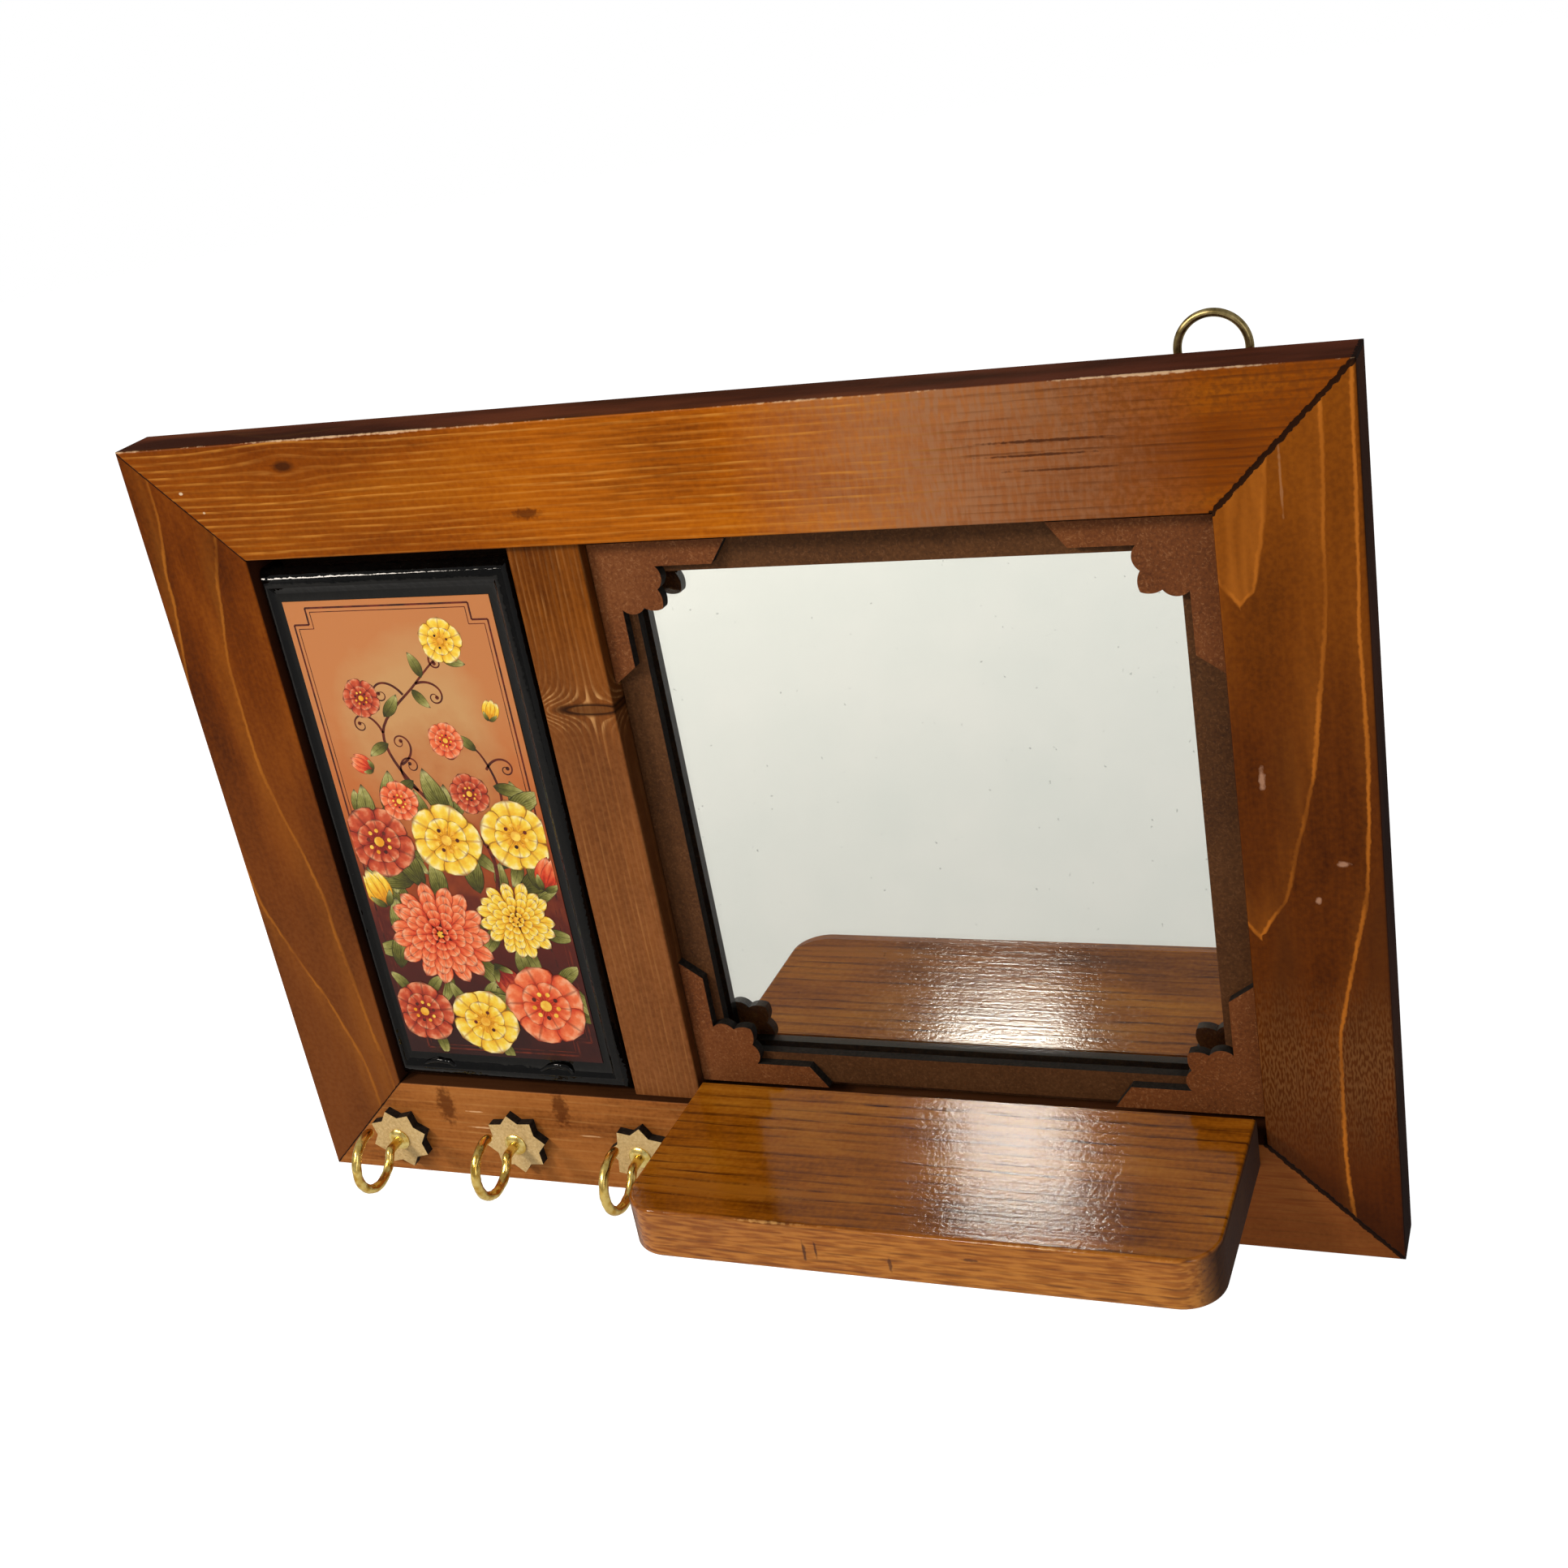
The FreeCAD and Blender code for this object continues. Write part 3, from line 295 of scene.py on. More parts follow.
        # a pale line along the arris: rubbed stain and a painted highlight along the edge
        if arris_highlight_and_wear:
            axis, level, other, other_level, tint = arris_highlight_and_wear
            near = add(tree, "Math ADD", (parts[axis], -level))
            beside = add(tree, "Math ADD", (parts[other], -other_level))
            off = add(tree, "CombineXYZ", (near, beside, 0.0))
            off = add(tree, "VectorMath LENGTH", {0: off}, output="Value")
            rubbed_and_highlit = add(tree, "Math MULTIPLY_ADD", (drawn["fading"], 3.0, -1.7))
            rubbed_and_highlit = add(tree, "Math MULTIPLY_ADD", (drawn["nap"], 1.2, rubbed_and_highlit))
            rubbed_and_highlit = add(tree, "Math SUBTRACT", (rubbed_and_highlit, off))
            rubbed_and_highlit = add(tree, "ValToRGB", {0: rubbed_and_highlit}, stops=[(0.1, 0.0), (0.5, 0.75)])
            wood = add(tree, "Mix", {0: rubbed_and_highlit, 6: wood, 7: colour(tint)}, **BLEND)
        bump = add(tree, "Bump", {"Height": height, "Strength": 1.0, "Distance": relief * MM})
        return {"Base Color": wood, "Roughness": rough, "Normal": bump, "IOR": 1.48,
                "Specular IOR Level": shine}

    return material(name, paint)


def on_front(at, across, half_length, half_width, tint, cover):
    """A stain or scratch on the frame's front, placed along and across its board."""
    return (at, across, FRONT_Y), (half_length, half_width, MARK_DEPTH), tint, cover


BOARDS = {
    "top_rail": stained_pine(
        "stained_pine_straight_grain", "XZY", ("#682c00", "#9c4e02", "#c06c0a"), ("#d8933c", 0.7), fibre=0.5,
        rings=(2.4, 0.6, -60, 10), wander=0.6, line_turn=(60, 95, "#4e260c"),
        knot=(-134.9, 134.8, 9, 4.2, 0.1, 0.75, 0.5), edges=("#2e140c", "#5a2c1e"),
        arris_highlight_and_wear=("Z", FRAME_Z, "Y", FRONT_Y, "#e0bc94"),
        tone_sheen_and_shade_bands=[("#c26c10", -75, 35, [(0, 0.0), (0.5, 0.6), (1, 0.0)], "fibres", 0.4),
               ("#6a3206", -200, -40, [(0, 0.8), (0.6, 0.6), (1, 0.0)], "fibres", 0.5),
               # this pale grey-brown band over the right part, broken by the cross layer, is a painted
               # reflection in the varnish
               ("#9e6e4c", 20, 200, [(0, 0.0), (0.2, 0.6), (0.36, 0.95), (0.6, 0.9), (0.78, 0.0)],
                "cross", 0.4),
               ("#6a340a", 95, 200, [(0, 0.0), (0.4, 0.7), (1, 0.85)], "nap", 0.5)],
        marks=[on_front(-50, 114.5, 9, 3.5, "#4a1e04", 0.7), on_front(116, 127, 38, 0.9, "#3a1606", 0.8),
               on_front(114, 123, 32, 0.8, "#3a1606", 0.8), on_front(122, 118.6, 32, 0.8, "#3a1606", 0.7),
               on_front(-178, 128, 1.4, 0.9, "#e8d2b0", 0.8),
               on_front(-171, 121, 1.0, 0.8, "#e8d2b0", 0.7)]),
    "left_stile": stained_pine(
        "stained_pine_broad_grain", "ZXY", ("#441b01", "#6a3103", "#88460a"), ("#b06a20", 0.75), fibre=0.2,
        paths=[(9, 0.3, None, [(-104, -162.8), (-84, -164.9), (-42, -168.2), (-21, -169.4), (1, -174.1),
                               (23, -178.8), (63, -179.6), (81, -176.4), (101, -172.5), (118, -168)]),
               (8, 0.3, None, [(-118, -171), (-88, -174.4), (-60, -184.4), (-34, -195.2), (-11, -199.2),
                               (54, -199.7), (86, -194.7), (102, -193.2), (120, -190)])],
        # the paler, greyer lower part is a painted sheen
        tone_sheen_and_shade_bands=[("#76441f", 60, -140, [(0, 0.0), (0.5, 0.6), (1, 0.85)], "nap", 0.3)]),
    "right_stile": stained_pine(
        "stained_pine_cathedral_grain", "ZXY", ("#3a1703", "#643006", "#7e430c"), ("#ba6c20", 0.9),
        fibre=0.15,
        paths=[(5, 0.1, None, [(-143, 186.5), (-110, 184.9), (-77, 184.7), (-57, 186.3), (-23, 193.4),
                               (11, 197.3), (77, 198), (143, 199.5)]),
               (9, 0.25, (-24.5, 160, 1.25), [(-29, 164), (-27, 165.3), (-16, 171.9), (5.6, 177.5),
                                              (24, 182.5), (63, 187.5), (100, 189.7), (143, 191.2)]),
               (60, 0.6, (84, 160, 1.45), [(76, 165.5), (80.5, 169.7), (92, 172.3), (101, 174),
                                           (125, 176)])],
        tone_sheen_and_shade_bands=[("#94500a", -143, 143, [(0, 0.0), (0.62, 0.0), (0.85, 0.5), (1, 0.75)], "nap", 0.3),
               ("#3a1404", -143, -30, [(0, 0.75), (0.35, 0.3), (0.7, 0.1), (1, 0.0)], "nap", 0.2),
               ("#34180a", -143, 70, [(0, 0.5), (0.7, 0.6), (1, 0.0)], "clouds", 1.0),
               # the pale dashes low on the board are a painted satin highlight
               ("#96683c", -112, -40, [(0, 0.0), (0.45, 0.3), (0.6, 0.3), (1, 0.0)], "specks", 1.0)],
        marks=[on_front(23.7, 167.8, 7, 1.8, "#b08468", 0.8), on_front(-3.4, 188.8, 2, 3.6, "#b08468", 0.8),
               on_front(-15.5, 181.2, 2.4, 1.8, "#b08468", 0.8),
               on_front(112, 179, 18, 0.8, "#a8744a", 0.6)]),
    "bottom_rail": stained_pine(
        "stained_pine_streaked", "XZY", ("#703c14", "#9e5f2a", "#b07036"), ("#d09858", 0.5), fibre=0.5,
        # to the right, beside the shelf, the lines turn darker and a darker band lies there: painted shadow
        # of the shelf
        rings=(4.2, 0.6, 60, -5), line_turn=(40, 100, "#6a3a1a"),
        tone_sheen_and_shade_bands=[("#84441a", 60, 190, [(0, 0.0), (0.6, 0.9), (1, 0.9)], "fibres", 0.5)],
        marks=[on_front(-142, -112, 7, 16, "#522404", 0.75), on_front(-93, -110, 6.5, 14, "#522404", 0.75),
               on_front(-128, -121, 14, 0.8, "#e0b080", 0.8), on_front(-130, -114, 8, 0.7, "#e0b080", 0.8),
               on_front(-83, -121, 9, 0.7, "#d8a878", 0.7)]),
    "divider_stile": stained_pine(
        "stained_pine_knotted", "ZXY", ("#481e02", "#663306", "#82460e"), ("#b88048", 0.45), fibre=0.7,
        rings=(1.9, 0.5, 60, 20), seams=False, knot=(46.5, -45, 4.5, 28, 0.9, 0.35, 0.95),
        # the paler lower part is a painted sheen
        tone_sheen_and_shade_bands=[("#8a5630", 80, -60, [(0, 0.0), (0.4, 0.7), (1, 0.85)], "nap", 0.3)]),
    "shelf_board": stained_pine(
        "stained_pine_shelf", "XYZ", ("#643202", "#96540a", "#b2701a"), ("#3c1a04", 1.15), fibre=0.45,
        rings=(2.3, 0.5, 49, -273), seams=False, wander=1.6, edges=("#945014", "#cc8436"),
        edge_layer="dashes", arris_highlight_and_wear=("Y", SHELF_LOW.y, "Z", SHELF_HIGH.z, "#cc9650"), relief=0.07, gloss=0.09,
        shine=0.34,
        marks=[((0, -79, SHELF_HIGH.z), (60, 9, 4), "#a8661a", 0.6),
               ((30, SHELF_LOW.y, -104), (1.2, 2, 7), "#3a1606", 0.8),
               ((34, SHELF_LOW.y, -103), (0.9, 2, 6), "#3a1606", 0.8),
               ((58, SHELF_LOW.y, -106), (1.2, 2, 5), "#3a1606", 0.7),
               ((84, SHELF_LOW.y, -101), (6, 2, 1), "#3a1606", 0.7)]),
}


# Black lacquer, sprayed and polished on routed board: nearly black, with a faint ripple in its shine.

def black_lacquer():
    def paint(tree):
        point = millimetres(tree)
        ripple = add(tree, "TexNoise", {"Vector": point, "Scale": 1 / 2.4, "Detail": 1.0})
        dust = add(tree, "TexNoise", {"Vector": point, "Scale": 1 / 0.5, "Detail": 1.0})
        tone = add(tree, "ValToRGB", {0: ripple}, stops=[(0.3, "#030303"), (0.7, "#080706")])
        specks = add(tree, "ValToRGB", {0: dust}, stops=[(0.74, 0.0), (0.8, 0.35)])
        tone = add(tree, "Mix", {0: specks, 6: tone, 7: colour("#4a4640")}, **BLEND)
        bump = add(tree, "Bump", {"Height": ripple, "Strength": 0.4, "Distance": 0.35 * MM})
        rough = add(tree, "Math MULTIPLY_ADD", (dust, 0.06, 0.02))
        return {"Base Color": tone, "Roughness": rough, "Normal": bump, "Specular IOR Level": 0.2}

    return material("black_lacquer_polished", paint)


# Cut fibreboard: matted brown fibres on the faces, with painted shade that darkens it lower down, and edges
# # burnt black by the cutter.

def cut_fibreboard(name, tones, fleck, foot):
    def paint(tree):
        point = millimetres(tree)
        patches = add(tree, "TexNoise", {"Vector": point, "Scale": 1 / 30, "Detail": 2.0})
        felt = add(tree, "TexNoise", {"Vector": point, "Scale": 1 / 1.1, "Detail": 4.0, "Roughness": 0.65})
        strand = add(tree, "TexNoise", {"Vector": point, "Scale": 1 / 1.8, "Detail": 3.0, "Distortion": 2.5})
        shade = add(tree, "Math MULTIPLY_ADD", (felt, 0.9, -0.4))
        shade = add(tree, "Math MULTIPLY_ADD", (strand, 0.4, shade))
        shade = add(tree, "Math MULTIPLY_ADD", (patches, 0.5, shade))
        board = add(tree, "ValToRGB", {0: shade}, stops=[(0.15, tones[0]), (0.5, tones[1]), (0.9, tones[2])])
        hairs = add(tree, "ValToRGB", {0: strand}, stops=[(0.6, 0.0), (0.66, 0.4), (0.72, 0.0)])
        board = add(tree, "Mix", {0: hairs, 6: board, 7: colour(fleck)}, **BLEND)
        # painted shade: the board darkens towards the bottom by the given share
        level = add(tree, "SeparateXYZ", {0: point}, output="Z")
        painted_shade_below = add(tree, "MapRange", (level, OPENING_Z, -OPENING_Z, 0.0, foot))
        board = add(tree, "Mix", {0: painted_shade_below, 6: board, 7: colour("#2a1409")}, **BLEND)
        facing = add(tree, "VectorMath ABSOLUTE", {0: add(tree, "TexCoord", output="Normal")})
        facing = add(tree, "SeparateXYZ", {0: facing}, output="Y")
        flat = add(tree, "ValToRGB", {0: facing}, stops=[(0.5, 0.0), (0.85, 1.0)])
        char = add(tree, "ValToRGB", {0: felt}, stops=[(0.35, "#100d0b"), (0.7, "#2e2822")])
        board = add(tree, "Mix", {0: flat, 6: char, 7: board}, **BLEND)
        bump = add(tree, "Bump", {"Height": felt, "Strength": 0.4, "Distance": 0.2 * MM})
        rough = add(tree, "Math MULTIPLY_ADD", (felt, 0.2, 0.55))
        return {"Base Color": board, "Roughness": rough, "Normal": bump, "Specular IOR Level": 0.15}

    return material(name, paint)


# Brass, drawn as wire and hammered, turned, or plated and darkened: yellow with a soft uneven shine and small
# marks, and browner where it has tarnished.

def brass(name, tones, polish, mark_size, mark_depth):
    def paint(tree):
        point = millimetres(tree)
        cells = add(tree, "TexVoronoi", {"Vector": point, "Scale": 1 / mark_size}, feature="SMOOTH_F1")
        tarnish = add(tree, "TexNoise", {"Vector": point, "Scale": 1 / 3, "Detail": 3.0})
        tone = add(tree, "ValToRGB", {0: tarnish}, stops=[(0.35, tones[0]), (0.6, tones[1])])
        rough = add(tree, "Math MULTIPLY_ADD", (tarnish, 0.25, polish - 0.1))
        bump = add(tree, "Bump", {"Height": cells, "Strength": 0.5, "Distance": mark_depth * MM})
        return {"Base Color": tone, "Metallic": 1.0, "Roughness": rough, "Normal": bump}

    return material(name, paint)


# Steel wire goods, bright drawn: grey with fine drawing lines.

def bright_steel():
    def paint(tree):
        point = millimetres(tree)
        drawn = add(tree, "VectorMath MULTIPLY", (point, (3.0, 0.17, 3.0)))
        lines = add(tree, "TexNoise", {"Vector": drawn, "Scale": 1.0})
        tone = add(tree, "ValToRGB", {0: lines}, stops=[(0.3, "#8d8d8a"), (0.7, "#c4c4c0")])
        rough = add(tree, "Math MULTIPLY_ADD", (lines, 0.2, 0.22))
        return {"Base Color": tone, "Metallic": 1.0, "Roughness": rough}

    return material("bright_steel_drawn", paint)


# Hardboard, pressed between smooth plates: a hard brown skin with darker matted fibres in it.

def hardboard():
    def paint(tree):
        point = millimetres(tree)
        felt = add(tree, "TexNoise", {"Vector": point, "Scale": 1 / 1.4, "Detail": 4.0, "Roughness": 0.7})
        clouds = add(tree, "TexNoise", {"Vector": point, "Scale": 1 / 60})
        shade = add(tree, "Math MULTIPLY", (clouds, 0.5))
        shade = add(tree, "Math MULTIPLY_ADD", (felt, 0.5, shade))
        tone = add(tree, "ValToRGB", {0: shade}, stops=[
            (0.36, "#4d2f1a"), (0.52, "#6e4729"), (0.66, "#84593a")])
        bump = add(tree, "Bump", {"Height": felt, "Strength": 0.3, "Distance": 0.15 * MM})
        rough = add(tree, "Math MULTIPLY_ADD", (felt, 0.25, 0.4))
        return {"Base Color": tone, "Roughness": rough, "Normal": bump}

    return material("hardboard_pressed", paint)


# Beech, turned: pale pinkish brown with short dark flecks.

def beech():
    def paint(tree):
        point = millimetres(tree)
        drawn = add(tree, "VectorMath MULTIPLY", (point, (2.0, 2.0, 0.33)))
        flecks = add(tree, "TexNoise", {"Vector": drawn, "Scale": 1.0})
        tone = add(tree, "ValToRGB", {0: flecks}, stops=[(0.35, "#a87a52"), (0.6, "#c79a6e")])
        return {"Base Color": tone, "Roughness": 0.6}

    return material("beech_turned", paint)


# Float glass, clear, with a film of wiped dust on its front.

def float_glass():
    def paint(tree):
        wiped = add(tree, "TexNoise", {"Vector": millimetres(tree), "Scale": 1 / 30, "Detail": 3.0})
        rough = add(tree, "ValToRGB", {0: wiped}, stops=[(0.55, 0.0), (0.8, 0.004)])
        tint = add(tree, "ValToRGB", {0: wiped}, stops=[(0.3, "#fbfdfb"), (0.7, "#f8fbf9")])
        return {"Base Color": tint, "Roughness": rough, "IOR": 1.52, "Transmission Weight": 1.0}

    return material("float_glass", paint)


# Silvering, laid on the back of the glass: a bright even mirror with a few pin-hole specks.

def mirror_silver():
    def paint(tree):
        specks = add(tree, "TexNoise", {"Vector": millimetres(tree), "Scale": 1 / 1.6, "Detail": 1.0})
        tone = add(tree, "ValToRGB", {0: specks}, stops=[(0.76, "#f6f6f4"), (0.82, "#d0d2d0")])
        return {"Base Color": tone, "Metallic": 1.0, "Roughness": 0.01}

    return material("mirror_silver_deposited", paint)


# Printed paper under a gloss film: a parchment ground, orange at its upper corners and deep red at its foot.

def printed_ground():
    low, high = span("print_sheet")
    middle = (low + high) / 2

    def paint(tree):
        point = millimetres(tree)
        clouds = add(tree, "TexNoise", {"Vector": point, "Scale": 1 / 26, "Detail": 3.0})
        stains = add(tree, "TexNoise", {"Vector": point, "Scale": 1 / 6, "Detail": 4.0})
        rise = add(tree, "SeparateXYZ", {0: point}, output="Z")
        level = add(tree, "MapRange", (rise, low.z, high.z))
        level = add(tree, "Math MULTIPLY_ADD", (clouds, 0.3, level))
        level = add(tree, "Math MULTIPLY_ADD", (stains, 0.14, level))
        tone = add(tree, "ValToRGB", {0: level}, stops=[
            (0.25, "#2c0b08"), (0.52, "#54170c"), (0.7, "#96401a"), (0.84, "#bd7a46"), (1.0, "#c89660")])
        off = add(tree, "VectorMath ADD", (point, (-middle.x, 0.0, -middle.z - 36)))
        off = add(tree, "VectorMath MULTIPLY", (off, (1 / 46, 0.0, 1 / 60)))
        off = add(tree, "VectorMath LENGTH", {0: off}, output="Value")
        off = add(tree, "Math MULTIPLY_ADD", (clouds, 0.5, off))
        rim = add(tree, "ValToRGB", {0: off}, stops=[(0.75, 0.0), (1.0, 0.5)])
        above = add(tree, "ValToRGB", {0: level}, stops=[(0.55, 0.0), (0.8, 1.0)])
        rim = add(tree, "Math MULTIPLY", (rim, above))
        tone = add(tree, "Mix", {0: rim, 6: tone, 7: colour("#c05a18")}, **BLEND)
        return {"Base Color": tone, "Roughness": 0.2, "Specular IOR Level": 0.25}

    return material("printed_paper_parchment", paint)


FINISHES = {
    **BOARDS,
    "picture_panel": black_lacquer(),
    "print_sheet": printed_ground(),
    "mirror_glass": float_glass(),
    "mirror_silvering": mirror_silver(),
    "back_board": hardboard(),
    "divider_dowels": beech(),
    "fret_backing_frame": cut_fibreboard(
        "fibreboard_backing", ("#38200f", "#553419", "#6e4728"), "#80583a", 0.25),
}
fret_board = cut_fibreboard("fibreboard_laser_cut", ("#4a2712", "#703e1c", "#8e5830"), "#a87850", 0.0)
star_board = cut_fibreboard("fibreboard_sanded_stars", ("#a88a58", "#ccae78", "#e0c894"), "#e6d2a8", 0.0)
hook_brass = brass("brass_hammered", ("#c79a3a", "#ecd07a"), 0.2, 2.2, 0.1)
collar_brass = brass("brass_turned", ("#d2ab4c", "#f0dc8e"), 0.22, 3.0, 0.1)
ring_brass = brass("brass_antique_plated", ("#75633a", "#b09c6a"), 0.3, 2.5, 0.05)
steel = bright_steel()
SHARED = {
    "fret_corner": fret_board, "star_washer": star_board, "key_hook": hook_brass,
    "hook_collar": collar_brass, "hanger_strap": ring_brass, "hanger_ring": ring_brass,
    "hanger_screws": steel, "corner_v_nails": steel, "shelf_nails": steel, "back_board_pins": steel,
}
for node in nodes:
    for start, finish in SHARED.items():
        if node.startswith(start):
            FINISHES[node] = finish
for node, finish in FINISHES.items():
    slots = nodes[node].data.materials
    slots.clear()
    slots.append(finish)


# Pieces that stand for CAD nodes, or lie on them

def piece(name, points, faces, finish, sharp=35):
    """A mesh from points in millimetres that moves with the frame."""
    mesh = bpy.data.meshes.new(name)
    mesh.from_pydata([Vector(point) * MM for point in points], [], faces)
    for used in finish if isinstance(finish, list) else [finish]:
        mesh.materials.append(used)
    mesh.shade_smooth()
    mesh.set_sharp_from_angle(angle=math.radians(sharp))
    made = bpy.data.objects.new(name, mesh)
    bpy.context.scene.collection.objects.link(made)
    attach(made, "frame")
    return made


def stepped(loops):
    """A solid that steps from back to front through rectangles (left, right, bottom, top, y)."""
    points, faces = [], [(3, 2, 1, 0)]
    for left, right, bottom, top, y in loops:
        points += [(left, y, bottom), (right, y, bottom), (right, y, top), (left, y, top)]
    for k in range(0, 4 * len(loops) - 4, 4):
        faces += [(k + i, k + (i + 1) % 4, k + 4 + (i + 1) % 4, k + 4 + i) for i in range(4)]
    faces.append(tuple(range(len(points) - 4, len(points))))
    return points, faces


WIRE_SIDES = 24


def tube(path, radii, cut):
    """A wire along a path in the plane x = 0, with its radius at each point and cuts for hammer marks."""
    points, faces, sides = [], [], WIRE_SIDES
    for k, (place, radius) in enumerate(zip(path, radii)):
        ahead = path[min(k + 1, len(path) - 1)] - path[max(k - 1, 0)]
        ahead.normalize()
        out = ahead.cross(Vector((1, 0, 0)))
        for i in range(sides):
            turn = 2 * math.pi * i / sides
            reach = radius * cut(k, turn)
            points.append(place + reach * (math.cos(turn) * Vector((1, 0, 0)) + math.sin(turn) * out))
    for k in range(len(path) - 1):
        for i in range(sides):
            j = (i + 1) % sides
            faces.append((k * sides + i, k * sides + j, (k + 1) * sides + j, (k + 1) * sides + i))
    faces.append(tuple(range(sides))[::-1])
    faces.append(tuple(range(len(points) - sides, len(points))))
    return points, faces


# The pane keeps a hair's breadth of the silvering's thickness clear and has ground arrises.
PANE_ARRIS = 0.4
PANE_BACK_GAP = 0.04


def add_pane():
    low, high = span("mirror_glass")
    ground = PANE_ARRIS
    loops = [(ground, high.y - PANE_BACK_GAP), (0, high.y - ground), (0, low.y + ground), (ground, low.y)]
    points, faces = stepped([(low.x + s, high.x - s, low.z + s, high.z - s, y) for s, y in loops])
    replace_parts(piece("glass_pane", points, faces, FINISHES["mirror_glass"]), "mirror_glass")


# The panel's edge is a full bead, and a hollow leads from its crest down to the print.
BEAD_SHARE = 0.45
CREST_SHARE = 0.04
BEAD_DROP = 5.2
BEAD_STEPS = 14
HOLLOW_TOP, HOLLOW_FOOT = 0.1, 0.05


def add_panel():
    low, high = span("picture_panel")
    sheet_low, sheet_high = span("print_sheet")
    margins = [sheet_low.x - low.x, high.x - sheet_high.x, sheet_low.z - low.z, high.z - sheet_high.z]
    field = sheet_high.y
    steps = [(0.0, high.y), (0.0, low.y + BEAD_DROP)]
    for k in range(1, BEAD_STEPS + 1):
        turn = math.pi / 2 * k / BEAD_STEPS
        steps.append((BEAD_SHARE * (1 - math.cos(turn)), low.y + BEAD_DROP * (1 - math.sin(turn))))
    start = BEAD_SHARE + CREST_SHARE
    for k in range(BEAD_STEPS + 1):
        way = k / BEAD_STEPS
        rise = (low.y + HOLLOW_TOP - field) * (1 - way) ** 2
        steps.append((start + (1 - start) * way, field - HOLLOW_FOOT + rise))
    steps.append((1.0, field))
    loops = []
    for share, y in steps:
        left, right, bottom, top = (share * margin for margin in margins)
        loops.append((low.x + left, high.x - right, low.z + bottom, high.z - top, y))
    points, faces = stepped(loops)
    panel = piece("lacquered_panel", points, faces, FINISHES["picture_panel"])
    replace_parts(panel, "picture_panel")


# Two runs of lacquer stand proud on the panel's foot.
RUNS = (
    [(-150.0, -97.0), (-146.2, -95.0), (-141.9, -94.2), (-137.3, -94.7), (-134.7, -96.7), (-134.0, -99.0)],
    [(-99.8, -96.3), (-95.7, -94.0), (-91.7, -93.0), (-87.9, -93.5), (-86.0, -95.4), (-85.8, -97.8)])
RUN_RADIUS = 1.15
RUN_DEPTH = 1.2
RUN_SIDES = 10


def add_runs():
    low = span("picture_panel")[0]
    points, faces, sides = [], [], RUN_SIDES
    inward = Vector((0, 1, 0))
    for line in RUNS:
        start = len(points)
        for k in range(len(line)):
            place = Vector((line[k][0], low.y + RUN_DEPTH, line[k][1]))
            before, after = line[max(k - 1, 0)], line[min(k + 1, len(line) - 1)]
            ahead = Vector((after[0] - before[0], 0, after[1] - before[1])).normalized()
            out = ahead.cross(inward)
            radius = RUN_RADIUS * (0.35 + 0.65 * math.sin(math.pi * (0.1 + 0.75 * k / (len(line) - 1))))
            for i in range(sides):
                turn = 2 * math.pi * i / sides
                points.append(place + radius * (math.cos(turn) * out + 0.8 * math.sin(turn) * inward))
        for k in range(len(line) - 1):
            for i in range(sides):
                a, b = start + sides * k + i, start + sides * k + (i + 1) % sides
                faces.append((a, a + sides, b + sides, b))
        faces += [tuple(range(start, start + sides)), tuple(range(len(points) - sides, len(points)))[::-1]]
    piece("lacquer_runs", points, faces, FINISHES["picture_panel"], sharp=80)


# The hooks are bent from hammered wire: flat marks all round it break its shine.
WIRE = 1.8
SCREW = 1.5
SHANK = 8.9
BEND = 3.0
LOOP = 10.7
LOOP_RISE = 3.1
LOOP_END = 108
HOOK_STEP = 0.7
SCREW_DEPTH = span("key_hook_left")[1].y - FRONT_Y
SCREW_STEPS = 12
HAMMER_MARKS = 150
FIRST_MARK = 22
TIP_STEPS = 3.4


def hook_line():
    """Points (out from the rail, up from the screw) along a hook's middle, about a step apart."""
    fall = math.acos((LOOP_RISE + BEND) / (LOOP + BEND))
    reach = SHANK + (LOOP + BEND) * math.sin(fall)
    first, last = math.radians(270) - fall, math.radians(360 + LOOP_END)
    line = [(HOOK_STEP * k, 0.0) for k in range(int(SHANK / HOOK_STEP) + 1)]
    bends = max(4, int(BEND * fall / HOOK_STEP))
    for k in range(1, bends + 1):
        turn = fall * k / bends
        line.append((SHANK + BEND * math.sin(turn), BEND * math.cos(turn) - BEND))
    rounds = int(LOOP * (last - first) / HOOK_STEP)
    for k in range(1, rounds + 1):
        turn = first + (last - first) * k / rounds
        line.append((reach + LOOP * math.cos(turn), LOOP_RISE + LOOP * math.sin(turn)))
    return line


